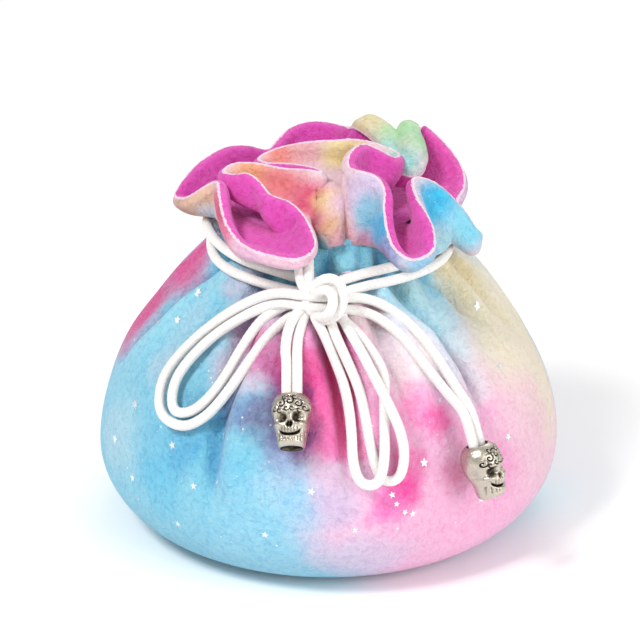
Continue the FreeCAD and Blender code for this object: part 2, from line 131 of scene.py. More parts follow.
# control points of each strand, in millimetres: round the neck, through the knot, its loop, its tail
STRANDS = {
    "left_cord_a": {
        "points": [
            (-32.2, 1.7, 100.4), (-38.8, 1.4, 100.2), (-38.4, -7.6, 99.4), (-34.6, -17.0, 97.4),
            (-27.4, -26.2, 96.0), (-17.9, -33.2, 95.4), (-8.8, -38.6, 94.6), (0.5, -42.4, 93.6),
            (1.5, -48.4, 92.4), (-7.0, -48.8, 93.0), (-16.4, -43.8, 92.6), (-26.5, -39.0, 86.4),
            (-37.2, -36.9, 77.8), (-46.2, -37.2, 69.0), (-52.2, -41.2, 61.4), (-52.6, -48.4, 53.2),
            (-45.2, -55.0, 51.4), (-37.6, -57.8, 56.4), (-31.0, -56.5, 64.0), (-24.8, -52.2, 72.2),
            (-18.6, -47.6, 79.6), (-11.5, -44.8, 85.0), (-4.0, -46.4, 88.8),
            (4.0, -44.4, 90.8), (12.4, -42.2, 89.6), (20.0, -42.0, 85.4), (27.2, -43.4, 79.4),
            (33.2, -46.6, 72.2), (38.6, -52.4, 65.0)],
        "bead": "right", "hand": 1.0,
    },
    "left_cord_b": {
        "points": [
            (-32.2, -1.7, 100.4), (-36.2, -2.6, 99.0), (-37.4, -7.4, 95.0), (-36.2, -16.2, 92.9),
            (-30.8, -26.0, 92.0), (-21.6, -34.2, 91.6), (-11.8, -39.4, 91.0), (-4.0, -41.4, 90.2),
            (1.2, -41.6, 89.8), (4.0, -45.2, 89.2), (1.4, -49.2, 88.8), (-7.0, -48.6, 89.6),
            (-16.4, -43.2, 88.8), (-26.0, -40.9, 83.2),
            (-35.4, -40.1, 76.4), (-43.4, -41.4, 68.6), (-48.2, -44.6, 61.8), (-48.4, -50.8, 55.2),
            (-42.6, -54.2, 56.2), (-36.6, -54.6, 61.4), (-31.0, -51.6, 68.4), (-25.8, -46.4, 76.6),
            (-20.0, -43.2, 83.8), (-12.6, -42.8, 88.0), (-4.5, -43.6, 88.6),
            (4.6, -45.8, 87.4), (12.0, -44.9, 86.2), (18.8, -45.4, 82.0), (24.8, -47.4, 76.2),
            (30.4, -50.8, 69.8), (36.4, -55.8, 63.6)],
        "bead": "right", "hand": -1.0,
    },
    "right_cord_a": {
        "points": [
            (33.6, 1.7, 96.9), (40.4, 1.6, 97.2), (40.2, -7.4, 98.0), (36.0, -17.0, 97.0),
            (28.8, -25.8, 96.2), (18.9, -33.2, 96.0), (9.6, -38.0, 95.8), (1.5, -41.8, 94.4),
            (-4.4, -45.6, 92.0), (-4.6, -48.8, 86.6), (-1.6, -50.6, 81.8), (1.9, -54.8, 74.6),
            (5.2, -60.8, 67.6), (6.9, -67.6, 58.4), (7.2, -74.6, 49.0), (9.6, -77.4, 43.2),
            (15.2, -77.6, 43.2), (17.0, -73.8, 50.0), (16.9, -67.0, 58.0), (16.9, -61.4, 64.8),
            (17.2, -56.8, 70.4), (13.6, -52.2, 76.0), (7.8, -48.6, 82.4), (1.5, -47.2, 86.8),
            (-4.2, -46.0, 89.4), (-9.8, -47.6, 87.4), (-12.6, -52.0, 82.8), (-13.2, -56.8, 77.8)],
        "bead": "left", "hand": -1.0,
    },
    "right_cord_b": {
        "points": [
            (33.6, -1.7, 96.9), (37.4, -2.6, 95.8), (38.8, -8.4, 93.2), (35.8, -18.6, 92.6),
            (28.9, -28.2, 92.5), (19.4, -35.4, 92.5), (10.6, -39.6, 92.4), (1.0, -44.0, 91.0),
            (-1.0, -44.8, 90.8), (0.9, -50.0, 83.6), (5.0, -56.2, 76.4), (9.2, -60.8, 68.2),
            (11.2, -65.4, 60.4), (12.6, -69.8, 52.2), (15.6, -74.2, 42.8), (21.4, -73.2, 42.6),
            (23.2, -70.8, 49.2), (22.0, -70.2, 57.2), (18.6, -67.4, 64.4),
            (14.4, -62.4, 71.2), (9.6, -55.8, 78.4), (5.0, -49.8, 84.4), (3.4, -46.2, 88.0),
            (-4.0, -43.8, 90.4), (-7.0, -46.8, 86.6), (-9.3, -51.2, 81.4), (-9.6, -56.2, 77.2)],
        "bead": "left", "hand": 1.0,
    },
}


# ---------------------------------------------------------------- helpers

def link(obj):
    bpy.context.scene.collection.objects.link(obj)
    return obj


def face_mesh(name, places, faces, shade_smooth):
    """An object from places in metres and the faces between them."""
    mesh = bpy.data.meshes.new(name)
    mesh.from_pydata(places, [], faces)
    mesh.polygons.foreach_set("use_smooth", [shade_smooth] * len(mesh.polygons))
    mesh.update()
    return link(bpy.data.objects.new(name, mesh))


def grid_mesh(name, *grids):
    """One smooth mesh from grids of points in millimetres; each row of a grid closes on itself."""
    places = []
    faces = []
    for rows in grids:
        count, width = rows.shape[:2]
        index = np.arange(count * width).reshape(count, width) + len(places)
        right = np.roll(index, -1, axis=1)
        faces += np.stack([index[:-1], right[:-1], right[1:], index[1:]], -1).reshape(-1, 4).tolist()
        places += (rows.reshape(-1, 3) * MM).tolist()
    return face_mesh(name, places, faces, True)


def distances(places):
    """How far along a line each of its places is."""
    return np.concatenate([[0], np.cumsum(np.linalg.norm(np.diff(places, axis=0), axis=1))])


def read_off(rows, along, marks):
    """Each column of rows, which lie at distances along a line, read at other distances."""
    return np.stack([np.interp(marks, along, column) for column in rows.T], -1)


def smooth(value, low, high):
    """0 below low, 1 above high, and an eased step between."""
    share = np.clip((value - low) / (high - low), 0, 1)
    return share * share * (3 - 2 * share)


def wrap(angle):
    """An angle in degrees brought between -180 and 180."""
    return (angle + 180.0) % 360.0 - 180.0


def unit(vectors):
    """Vectors, along the last axis, brought to length 1."""
    return vectors / np.linalg.norm(vectors, axis=-1, keepdims=True)


# ---------------------------------------------------------------- camera

def make_camera():
    forward = Vector((0, math.cos(VIEW_DROP), -math.sin(VIEW_DROP)))
    data = bpy.data.cameras.new("camera")
    data.lens = VIEW_LENS
    data.sensor_width = 36.0
    data.clip_start = 0.05
    data.clip_end = 20.0
    camera = link(bpy.data.objects.new("camera", data))
    camera.location = (Vector(VIEW_AIM) - forward * VIEW_DISTANCE) * MM
    camera.rotation_mode = "QUATERNION"
    camera.rotation_quaternion = forward.to_track_quat("-Z", "Y")
    bpy.context.scene.camera = camera


# ---------------------------------------------------------------- cords

def bead_axes(side):
    centre, up, front = (Vector(v) for v in BEADS[side])
    up = up.normalized()
    sideways = up.cross(front).normalized()
    return centre, up, sideways


def strand_points(strand):
    """A strand's control points, with the straight end that passes through its bead."""
    centre, up, sideways = bead_axes(strand["bead"])
    beside = centre + sideways * (strand["hand"] * TAIL_HALF_SPACING)
    return strand["points"] + [tuple(beside + up * height) for height in TAIL_HEIGHTS]


def spline_line(points):
    """The places along an order 3 NURBS spline, in millimetres, read from a curve with no bevel."""
    data = bpy.data.curves.new("route", "CURVE")
    data.dimensions = "3D"
    data.resolution_u = 16
    spline = data.splines.new("NURBS")
    spline.points.add(len(points) - 1)
    for place, point in zip(spline.points, points):
        place.co = (*(Vector(point) * MM), 1.0)
    spline.order_u = 3
    spline.use_endpoint_u = True
    curve = link(bpy.data.objects.new("route", data))
    line = bpy.data.meshes.new_from_object(curve)
    places = np.array([vertex.co for vertex in line.vertices]) / MM
    bpy.data.meshes.remove(line)
    bpy.data.objects.remove(curve)
    return places


def even_line(places, step):
    """The same line with places a step apart, and how far along it each one is."""
    along = distances(places)
    marks = np.linspace(0, along[-1], max(int(along[-1] / step), 2) + 1)
    return read_off(places, along, marks), marks


def carried_frames(line):
    """Two directions across a line at each place, carried along it without twisting."""
    heading = unit(np.gradient(line, axis=0))
    start = np.cross(heading[0], (0.0, 0.0, 1.0))
    if np.linalg.norm(start) < 0.1:
        start = np.cross(heading[0], (1.0, 0.0, 0.0))
    across = [unit(start)]
    for ahead in heading[1:]:
        across.append(unit(across[-1] - ahead * np.dot(across[-1], ahead)))
    across = np.array(across)
    return across, np.cross(heading, across)


def rings(across, over, sides):
    """Circles of radius 1, one for each pair of directions across a line."""
    angle = np.linspace(0, TURN, sides, endpoint=False)[None, :, None]
    return np.cos(angle) * across[:, None] + np.sin(angle) * over[:, None]


def tube_mesh(name, places, radius, step=0.35, sides=20, knit=0.07, pitch=1.5):
    """A round cord along a line, with two sets of fine knitted ribs that cross each other."""
    line, along = even_line(places, step)
    across, over = carried_frames(line)
    angle = np.linspace(0, TURN, sides, endpoint=False)
    lean = 1.4 * np.abs(np.sin(angle * 4))
    ribs = np.abs(np.sin(along[:, None] * math.pi / pitch + lean))
    end = np.minimum(along, along[-1] - along)[:, None]
    cap = np.sqrt(1 - (1 - np.clip(end / radius, 0.0, 1)) ** 2)
    size = (radius - knit + knit * ribs) * np.maximum(cap, 0.02)
    return grid_mesh(name, line[:, None] + rings(across, over, sides) * size[:, :, None])


# ---------------------------------------------------------------- body cloth

def arc_points(centre, radius, start, end, count):
    """(radius, height, outward normal) rows along an arc of the outline, angles from the horizontal."""
    angles = np.linspace(start, end, count)
    direction = np.stack([np.cos(angles), np.sin(angles)], -1)
    return np.hstack([np.array(centre) + radius * direction, direction])


def outline():
    """The bag's resting outline from the middle of its base to the top of its neck."""
    corner = arc_points((BASE_RADIUS, CORNER_RADIUS), CORNER_RADIUS, -math.pi / 2, 0, 60)
    centre = BELLY_RADIUS - SHOULDER_RADIUS
    shoulder = arc_points((centre, CORNER_RADIUS), SHOULDER_RADIUS, 0, SHOULDER_TURN, 80)
    fillet_centre = (NECK_RADIUS + NECK_FILLET, NECK_TOP)
    fillet = arc_points(fillet_centre, NECK_FILLET, math.pi + SHOULDER_TURN, math.pi, 50)
    fillet[:, 2:] *= -1
    base_r = np.linspace(0, BASE_RADIUS, 12)[:-1]
    base = np.stack([base_r, 0 * base_r, 0 * base_r, 0 * base_r - 1], -1)
    ends = np.vstack([shoulder[-1], fillet[0]])
    steps = np.linspace(0, 1, 30)[1:-1, None]
    cone = ends[0] + (ends[1] - ends[0]) * steps
    return np.vstack([base, corner, shoulder[1:], cone, fillet])


# gathers below the neck: azimuth in degrees, share of full height, half width in degrees
GATHERS = [
    (-172, 0.8, 8), (-158, 1.0, 7), (-143, 0.7, 8), (-129, 1.0, 7), (-113, 0.8, 8), (-99, 1.0, 6),
    (-78, 0.9, 7), (-66, 0.7, 6), (-50, 1.0, 8), (-36, 0.8, 6), (-21, 1.0, 7), (-6, 0.8, 7), (9, 1.0, 7),
    (25, 0.7, 8), (42, 1.0, 8), (60, 0.8, 8), (77, 1.0, 7), (93, 0.7, 8), (109, 1.0, 8), (127, 0.8, 8),
    (143, 1.0, 7), (158, 0.7, 7), (173, 0.9, 7),
]

# broad swells: size, how many go round the bag, phase, and how the phase changes with height
SWELLS = [(0.9, 3, 0.6, 0.0), (0.7, 5, 2.1, 0.03), (0.5, 8, 0.9, -0.05)]

# creases: (azimuth, height) down the line, depth, half width, lip on one side (negative: left lip)
CREASES = [
    ([(-92, 92), (-89, 76), (-86, 66), (-85, 56), (-84, 42)], 4.5, 3.0, 2.2),
    ([(-62, 95), (-54, 85), (-47, 76), (-44, 66), (-43, 52)], 3.6, 3.2, -2.6),
    ([(-123, 90), (-121, 68), (-120, 52), (-119, 30)], 3.0, 4.0, 1.5),
    ([(-152, 96), (-160, 82), (-168, 68), (-173, 52)], 3.4, 3.0, 2.4),
    ([(-39, 90), (-32, 84), (-25, 77), (-20, 68)], 2.2, 2.6, 1.2),
    ([(-104, 92), (-103, 80), (-101, 66)], 2.4, 2.6, 1.0),
    ([(-74, 92), (-71, 80), (-68, 66), (-66, 50)], 2.2, 3.2, 1.0),
    ([(-12, 92), (-8, 76), (-6, 60)], 2.6, 3.4, 1.4),
    ([(18, 92), (17, 76), (18, 56)], 3.0, 3.4, -1.4),
    ([(52, 92), (50, 74), (51, 48)], 3.4, 3.6, 1.8),
    ([(85, 92), (86, 76), (85, 60)], 2.6, 3.0, -1.4),
    ([(118, 92), (117, 74), (119, 50)], 3.2, 3.4, 1.6),
    ([(151, 92), (152, 78), (150, 62)], 2.4, 3.0, 1.2),
]


def crease_relief(azimuth, radius, height):
    """How far the creases push the cloth in or out, in millimetres."""
    total = np.zeros_like(height)
    for line, depth, width, lip in CREASES:
        azimuths, heights = zip(*reversed(line))
        centre = np.interp(height, heights, azimuths)
        side = np.radians(wrap(azimuth - centre)) * radius
        fade = smooth(height, heights[0] - 4, heights[0] + 16) * (1 - smooth(height, 96, 103))
        valley = -CREASE_DEPTH * depth * np.exp(-(side / (CREASE_WIDTH * width)) ** 2)
        reach = np.sign(lip) * side / (1.9 * width)
        raised = abs(lip) * np.where(reach > 0, reach * np.exp(1 - reach), 0)
        total += fade * (valley + raised)
    return total


def gather_relief(azimuth, height):
    """How far the gathers below the neck push the cloth in or out, in millimetres."""
    ridges = np.zeros_like(height)
    for centre, share, width in GATHERS:
        ridges += share * np.exp(-(wrap(azimuth - centre) / (0.85 * width)) ** 2)
    strength = GATHER_HEIGHT * smooth(height, 52, 92) * (1 - 0.55 * smooth(height, 96, 101))
    return strength * (ridges - 0.55)


def soft_relief(azimuth, height):
    """Broad unevenness of a filled plush bag."""
    a = np.radians(azimuth)
    swell = sum(size * np.sin(waves * a + phase + height * climb) for size, waves, phase, climb in SWELLS)
    return swell * smooth(height, 6, 40) * (1 - smooth(height, 70, 92))


def channel_relief(azimuth, height):
    """Puffs between the two rows of stitching, with a pinch at every stitch."""
    a = np.radians(azimuth)
    middle = (CHANNEL_LOW + CHANNEL_HIGH) / 2
    half = (CHANNEL_HIGH - CHANNEL_LOW) / 2
    inside = np.clip(1 - ((height - middle) / half) ** 2, 0, 1)
    pucker = 0.5 + 0.5 * np.sin(a * 46 + 1.5 * np.sin(a * 7))
    stitches = np.exp(-((height - CHANNEL_LOW) / 0.9) ** 2) + np.exp(-((height - CHANNEL_HIGH) / 0.9) ** 2)
    return inside * (0.5 + 0.9 * pucker) - stitches * 0.9


def slot_relief(azimuth, height):
    """The cloth turned in at each buttonhole, where the cords come out."""
    total = np.zeros_like(height)
    for exit_x, middle in BUTTONHOLES.values():
        across = np.radians(wrap(azimuth - (180.0 if exit_x < 0 else 0.0))) * NECK_RADIUS
        reach = (across / SLOT_HALF_WIDTH) ** 4 + ((height - middle) / SLOT_HALF_HEIGHT) ** 4
        total -= SLOT_DEPTH * np.exp(-reach)
    return total


def bead_hollow(places):
    """How far the cloth gives way behind the beads, so that it clears them as they turn and slide."""
    total = np.zeros(places.shape[:2])
    for side in BEADS:
        centre, up = (np.array(v) for v in bead_axes(side)[:2])
        along = np.clip((places - centre) @ up, *BEAD_SWEEP)
        short = BEAD_REACH - np.linalg.norm(places - centre - along[:, :, None] * up, axis=2)
        eased = np.clip(short + HOLLOW_EASE, 0, None) ** 2 / (4 * HOLLOW_EASE)
        total += np.where(short > HOLLOW_EASE, short, eased)
    return total


def body_surface(columns, count, inset):
    """Places on the body's cloth at a depth below its face, and how deep its folds are there, which its
    material paints as shade in the valleys and light on the ridges.
    """
    rows = outline()
    along = distances(rows[:, :2])
    line = read_off(rows, along, np.linspace(0, 1, count) * along[-1])
    azimuth = np.linspace(-180, 180, columns, endpoint=False)[None, :] + 0 * line[:, :1]
    radius = line[:, :1] + 0 * azimuth
    height = line[:, 1:2] + 0 * azimuth
    relief = crease_relief(azimuth, radius, height) + gather_relief(azimuth, height)
    relief += soft_relief(azimuth, height) + channel_relief(azimuth, height) + slot_relief(azimuth, height)
    relief *= smooth(line[:, :1], 20, 50) * smooth(height, 0.5, 8)
    angle = np.radians(azimuth)
    face = radius + line[:, 2:3] * relief
    places = np.stack([face * np.cos(angle), face * np.sin(angle), height + line[:, 3:4] * relief], -1)
    relief -= bead_hollow(places)
    r = np.maximum(radius + line[:, 2:3] * (relief - inset), 0.02)
    z = height + line[:, 3:4] * (relief - inset)
    grid = np.stack([r * np.cos(angle), r * np.sin(angle), np.maximum(z, 0.0 if inset == 0 else inset)], -1)
    # fold depth for painted shade: crease and gather valleys marked darker, ridges and lips marked lighter
    folds = crease_relief(azimuth, radius, height) + 0.55 * gather_relief(azimuth, height)
    return grid, np.clip(0.5 - folds / 8.0, 0, 1)


def layer(columns, outer_rows, inner_rows, near, far):
    """One layer of cloth of the body, from its face at depth near to its back at depth far, and its fold
    depths for painted shade and painted highlight.
    """
    face, face_folds = body_surface(columns, outer_rows, near)
    back, back_folds = body_surface(columns, inner_rows, far)
    return np.concatenate([face, back[::-1]]), np.concatenate([face_folds, back_folds[::-1]])


def mark(obj, name, values):
    """Stores one number for each point of a mesh, for its material to read."""
    marks = obj.data.attributes.new(name, "FLOAT", "POINT")
    marks.data.foreach_set("value", np.asarray(values).astype(np.float32).ravel())
    return obj


# ---------------------------------------------------------------- ruffle

# The folds of the ruffle, counter-clockwise seen from above, from the left tip. For each fold: the azimuth
# of its foot on the neck where it starts and ends (180 left, 270 front, 360 right) and the foot's radius
# there; how steeply it leaves the neck (1 upright, 0 straight out); how its rim points (outwards, up); how
# far it billows; and its rim's places.
FOLDS = [
    ((180, 196), (29.5, 30), 0.05, (0.55, 0.8), 0.42,
     [(-49, 2, 107), (-46, -4, 108), (-43, -9, 111), (-39, -13, 115), (-35, -16, 118)]),
    ((199, 214), (30, 30.5), 0.1, (0.35, 0.9), 0.42,
     [(-34, -21, 117), (-33, -27, 113), (-31, -34, 110), (-27, -40, 107)]),
    ((218, 240), (30.5, 30.5), 0.1, (0.6, 0.65), 0.36,
     [(-22, -45, 106), (-14, -48, 105), (-8, -48, 105), (-4, -44, 107)]),
    ((243, 250), (30.5, 30), 0.5, (0.25, 0.9), 0.42,
     [(-5, -38, 110), (-8, -31, 113), (-12, -26, 115), (-18, -22, 116), (-21, -17, 118)]),
    ((250, 246), (29, 28), 1.0, (0.1, 1.0), 0.42,
     [(-25, -14, 120), (-30, -12, 119), (-33, -9, 119)]),
    ((247, 264), (30, 31), 0.9, (0.2, 1.0), 0.42,
     [(-30, -5, 120), (-23, -7, 121), (-14, -12, 121), (-7, -16, 122), (-2, -18, 122)]),
    ((263, 256), (27, 25), 1.0, (0.0, 1.0), 0.42,
     [(-5, -11, 121), (-12, -5, 120), (-20, -1, 119)]),
    ((258, 267), (23, 31), 1.0, (0.1, 1.0), 0.42,
     [(-22, 4, 119), (-17, 6, 121), (-11, 5, 123)]),
    ((269, 274), (33, 33), 0.95, (0.3, 1.0), 0.5,
     [(-4, 2, 125), (2, 0, 126), (8, 1, 126)]),
    ((278, 283), (27, 23), 1.0, (0.0, 1.0), 0.42,
     [(15, 6, 123), (22, 6, 120)]),
    ((284, 281), (24, 27), 1.0, (0.05, 1.0), 0.42,
     [(21, -2, 121), (16, -3, 124), (12, -4, 126), (9, -8, 127), (6.5, -13, 126), (6, -18, 124)]),
    ((285, 292), (30, 31), 0.6, (0.35, 0.9), 0.42,
     [(8, -22, 124), (11, -24, 124), (15, -26, 123), (17, -29, 120)]),
    ((294, 302), (30.5, 30.5), 0.15, (0.35, 0.9), 0.42,
     [(17, -34, 115), (18, -40, 110), (20, -45, 107), (24, -48, 105)]),
    ((306, 318), (30.5, 30.5), 0.1, (0.55, 0.7), 0.36,
     [(28, -48, 105), (32, -45, 107), (32, -39, 111), (30, -33, 114)]),
    ((320, 323), (30, 30), -0.5, (0.0, 1.0), 0.85,
     [(27, -26, 117), (26, -20, 120)]),
    ((324, 332), (30.5, 30.5), -0.8, (0.0, 1.0), 0.95,
     [(28, -17, 120), (33, -15, 117.5)]),
    ((336, 346), (30.5, 30.5), -0.5, (0.0, 1.0), 0.8,
     [(38, -14, 113), (43, -13, 107), (46.5, -12, 101)]),
    ((350, 360), (30.5, 30), -0.1, (0.3, 0.9), 0.5,
     [(46.5, -7, 99), (44, -4, 102), (41, -1, 106)]),
    ((366, 390), (29.5, 29.5), 0.35, (0.4, 0.9), 0.42,
     [(43.5, 5, 108.5), (43.5, 12, 111.5), (40, 18, 116), (35, 23, 120), (31, 26, 122)]),
    ((394, 406), (29, 29), 1.0, (-0.55, -0.8), 0.72,
     [(29, 20, 120), (30.5, 13, 118), (31, 6, 115)]),
    ((407, 416), (29, 29), 1.0, (-0.8, -0.6), 0.72,
     [(29, 1, 113.5), (24, 0, 114)]),
    ((418, 442), (29, 29.5), 1.0, (-0.9, -0.5), 0.72,
     [(20, 4, 115.5), (17, 10, 118), (13.5, 17, 120.5), (9, 25, 121)]),
    ((448, 484), (29.5, 29.5), 0.6, (0.35, 0.9), 0.42,
     [(5, 37, 118), (-1, 41, 118), (-7, 41, 118), (-13, 37, 117), (-17, 30, 115)]),
    ((492, 532), (29.5, 29.5), 0.35, (0.5, 0.85), 0.42,
     [(-20, 25, 114), (-26, 23, 116), (-33, 19, 117), (-40, 13, 115), (-45, 7, 112)]),
]

# creases pressed into the ruffle: both ends, depth towards the print, half width
RUFFLE_CREASES = [
    ((-27, -20, 113), (-23, -34, 105), 2.6, 2.4), ((-20, -35, 104), (-9, -31, 110), 1.6, 1.8),
    ((2, -8, 123), (-1, -33, 103), 2.4, 2.3), ((-3, -21, 118), (-5, -34, 104), -2.2, 1.7),
    ((6, -18, 121), (3.5, -34, 103), -2.4, 1.7), ((-22, -22, 114), (-16, -27, 106), -1.2, 2.0),
    ((-12, -21, 118), (-6, -30, 108), 1.2, 2.0), ((-40, -4, 110), (-33, -12, 106), 1.6, 2.2),
    ((36, -16, 114), (42, -20, 100), 2.0, 2.2), ((32, -20, 112), (34, -28, 100), -1.6, 2.2),
    ((26, 14, 125), (28, 4, 117), 1.3, 2.0), ((38, 10, 114), (32, 2, 106), 1.6, 2.4),
    ((-30, 14, 112), (-22, 8, 106), 1.8, 2.4), ((-12, 32, 112), (-8, 24, 106), 1.6, 2.4),
]


def rim_keys():
    """One row per rim place: x, y, z, foot azimuth, foot radius, rise, the edge's two shares, fullness."""
    rows = []
    for neck, ring, rise, edge, full, rim in FOLDS:
        for share, place in zip(np.linspace(0, 1, len(rim)), rim):
            foot = [start + (end - start) * share for start, end in (neck, ring)]
            rows.append([*place, *foot, rise, *edge, full])
    return rows


def closed_spline(values, count, turn):
    """Evenly spaced places on a closed Catmull-Rom curve; the azimuth column gains one turn per lap."""
    keys = np.asarray(values, float)
    total = len(keys)
    samples = []
    for k in range(total):
        around = []
        for offset in (-1, 0, 1, 2):
            lap, index = divmod(k + offset, total)
            key = keys[index].copy()
            key[3] += lap * turn
            around.append(key)
        a, b, c, d = around
        for t in np.linspace(0, 1, 24, endpoint=False):
            samples.append(0.5 * (2 * b + (c - a) * t + (2 * a - 5 * b + 4 * c - d) * t ** 2
                                  + (3 * b - a - 3 * c + d) * t ** 3))
    last = keys[0].copy()
    last[3] += turn
    samples = np.array([*samples, last])
    along = distances(samples[:, :3])
    return read_off(samples, along, np.linspace(0, along[-1], count, endpoint=False))


def relax(grid, rounds, keep_rim):
    """Evens out the cloth's middle surface; the neck row stays, and the rim moves by a share."""
    for _ in range(rounds):
        sides = (np.roll(grid, 1, axis=1) + np.roll(grid, -1, axis=1)) / 2
        change = (sides - grid) * 0.5
        change[1:-1] = change[1:-1] * 0.5 + ((grid[2:] + grid[:-2]) / 2 - grid[1:-1]) * 0.25
        change[0] = 0
        change[-1] *= keep_rim
        grid = grid + change
    return grid


def ruffle_middle(columns, count):
    """The surface half way through the ruffle's cloth, from the neck row to the rim row."""
    rim = closed_spline(rim_keys(), columns, 360.0)
    places = rim[:, :3]
    heading = np.roll(places, -4, axis=0) - np.roll(places, 4, axis=0)
    outward = unit(np.stack([heading[:, 1], -heading[:, 0], 0 * heading[:, 0]], -1))
    up = np.array([0, 0, 1.0])
    edge = unit(outward * rim[:, 6:7] + up * rim[:, 7:8])
    angle = np.radians(rim[:, 3])
    radial = np.stack([np.cos(angle), np.sin(angle), 0 * angle], -1)
    ring = rim[:, 4] - 0.4 + 0.25 * gather_relief(wrap(rim[:, 3]), 0 * angle + 103.0)
    neck = radial * ring[:, None] + up * (NECK_TOP - RUFFLE_SINK)
    reach = np.linalg.norm(places - neck, axis=1)[:, None]
    rise = rim[:, 5:6]
    billow = reach * rim[:, 8:9]
    first = neck + (up * rise + radial * np.clip(1 - rise, 0, 1.3)) * billow
    second = places - edge * billow
    t = np.linspace(0, 1, count)[:, None, None]
    grid = (1 - t) ** 3 * neck + 3 * (1 - t) ** 2 * t * first
    grid = grid + 3 * (1 - t) * t ** 2 * second + t ** 3 * places
    return pressed(relax(grid, RELAX_ROUNDS, RIM_GIVE))


def pressed(grid):
    """The ruffle's middle surface with its small creases pressed in."""
    normal = grid_normals(grid)
    push = np.zeros(grid.shape[:2])
    for start, end, depth, width in RUFFLE_CREASES:
        span = np.array(end, float) - start
        share = np.clip(((grid - start) @ span) / (span @ span), 0, 1)
        gap = np.linalg.norm(grid - start - share[:, :, None] * span, axis=2)
        push += depth * np.exp(-(gap / width) ** 2)
    push[-6:] *= np.linspace(1, 0, 6)[:, None]
    push[:4] *= np.linspace(0, 1, 4)[:, None]
    return grid + normal * push[:, :, None]


def grid_normals(grid):
    """The unit normal at each place of a grid whose rows close."""
    across = np.roll(grid, -1, axis=1) - np.roll(grid, 1, axis=1)
    upward = np.gradient(grid, axis=0)
    normal = np.cross(across, upward)
    return normal / np.maximum(np.linalg.norm(normal, axis=2)[:, :, None], 1e-9)


def ruffle_side(grid, side):
    """One face of the ruffle: side 1 is the printed plush, side -1 the lining."""
    normal = grid_normals(grid)
    spans = np.linalg.norm(np.diff(grid, axis=0), axis=2)
    from_rim = np.vstack([np.cumsum(spans[::-1], axis=0)[::-1], 0 * spans[:1]])
    rounding = np.sqrt(1 - (1 - np.clip(from_rim / CLOTH, 0, 1)) ** 2)
    return grid + normal * (side * CLOTH * np.maximum(rounding, 0.10))[:, :, None]


# ---------------------------------------------------------------- seams, throat and small sewn things

def rim_seam(grid):
    """The thick fuzzy edge where print and lining meet round the rim."""
    edge = grid[-1]
    heading = unit(np.roll(edge, -1, axis=0) - np.roll(edge, 1, axis=0))
    inward = grid[-3] - edge
    inward = unit(inward - heading * np.sum(inward * heading, axis=1)[:, None])
    side = np.cross(heading, inward)
    random = np.random.default_rng(4)
    rough = 1 + 0.10 * random.standard_normal((len(edge), EDGE_SIDES))
    ring = EDGE_RADIUS * rings(side, inward, EDGE_SIDES)
    rows = (edge + inward * EDGE_SET_IN)[:, None] + ring * rough[:, :, None]
    return grid_mesh("rim_edge", np.concatenate([rows, rows[:1]]))


def throat_surface(columns, count):
    """The lining bunched into pleats, from the foot of the ruffle down into the bag."""
    angle = np.radians(np.linspace(-180, 180, columns, endpoint=False))
    t = np.linspace(0, 1, count)[:, None]
    top, waist, foot = THROAT_RADII
    reach = top + (waist - top) * smooth(t, 0.0, 0.55) + (foot - waist) * smooth(t, 0.62, 1.0)
    height = THROAT_TOP - 1.7 * t - 17.0 * smooth(t, 0.25, 1.0)
    pleat = np.sin(angle * 17 + 1.2 * np.sin(angle * 3)) + 0.4 * np.sin(angle * 31 + 0.8)
    r = reach + 1.7 * pleat[None, :] * smooth(t, 0.02, 0.3) * (reach / CASING_RADIUS) ** 0.4
    return np.stack([r * np.cos(angle), r * np.sin(angle), height + 0 * r], -1)


def on_body(azimuth, height, lift):
    """The place on the body's cloth at an azimuth and height, lifted along its normal, and that normal."""
    rows = outline()
    sloped = rows[rows[:, 1] > 1.0]

    def place(a, z):
        r, nr, nz = (np.interp(z, sloped[:, 1], sloped[:, k]) for k in (0, 2, 3))
        spots = [np.full((1, 1), float(v)) for v in (a, r, z)]
        relief = crease_relief(*spots) + gather_relief(spots[0], spots[2])
        relief = float((relief + soft_relief(spots[0], spots[2]) + channel_relief(spots[0], spots[2]))[0, 0])
        turned = math.radians(a)
        out = r + nr * relief
        return np.array([out * math.cos(turned), out * math.sin(turned), z + nz * relief])

    here = place(azimuth, height)
    east = place(azimuth + 0.5, height) - place(azimuth - 0.5, height)
    north = place(azimuth, height + 0.4) - place(azimuth, height - 0.4)
    normal = unit(np.cross(east, north))
    return here + normal * lift, normal


def stitch_row(name, height, count):
    """A row of short thread stitches sunk in the cloth round the neck, joined into one mesh."""
    grids = []
    span = STITCH_SHARE * 360 / count
    for k in range(count):
        azimuth = -180 + 360 * (k + 0.5) / count
        steps = ((-1, -0.5), (0, 0.45), (1, -0.5))
        ends = [on_body(azimuth + share * span, height, lift)[0] for share, lift in steps]
        line = even_line(np.array(ends), 0.4)[0]
        grids.append(line[:, None] + STITCH_RADIUS * rings(*carried_frames(line), 6))
    return grid_mesh(name, *grids)


# foil prints: azimuth, height, size in millimetres, points, turn in degrees
STARS = [
    (-152, 81, 2.6, 5, 10), (-153, 73, 2.2, 5, 40), (-161, 69, 2.6, 5, 5), (-151, 50, 3.4, 8, 0),
    (-156, 36, 3.0, 5, 20), (-133, 45, 2.6, 5, 50), (-119, 53, 2.2, 5, 15), (-118, 38, 2.8, 8, 0),
    (-124, 35, 2.2, 5, 30), (-94, 39, 2.4, 5, 0), (-84, 27, 2.0, 5, 25), (-66, 45, 2.4, 5, 10),
    (-75, 37, 2.0, 5, 30), (-74, 34, 1.8, 5, 5), (-72, 31, 1.8, 5, 50), (-70, 30, 2.0, 5, 20),
    (-140, 62, 1.8, 5, 12), (-146, 28, 2.4, 5, 33), (-105, 24, 2.2, 5, 8), (-129, 20, 2.6, 8, 0),
    (-50, 28, 2.2, 5, 15), (-38, 44, 2.4, 5, 40), (-58, 60, 1.8, 5, 22), (-30, 62, 2.2, 5, 3),
    (-15, 38, 2.6, 8, 0), (-22, 76, 2.0, 5, 27),
]


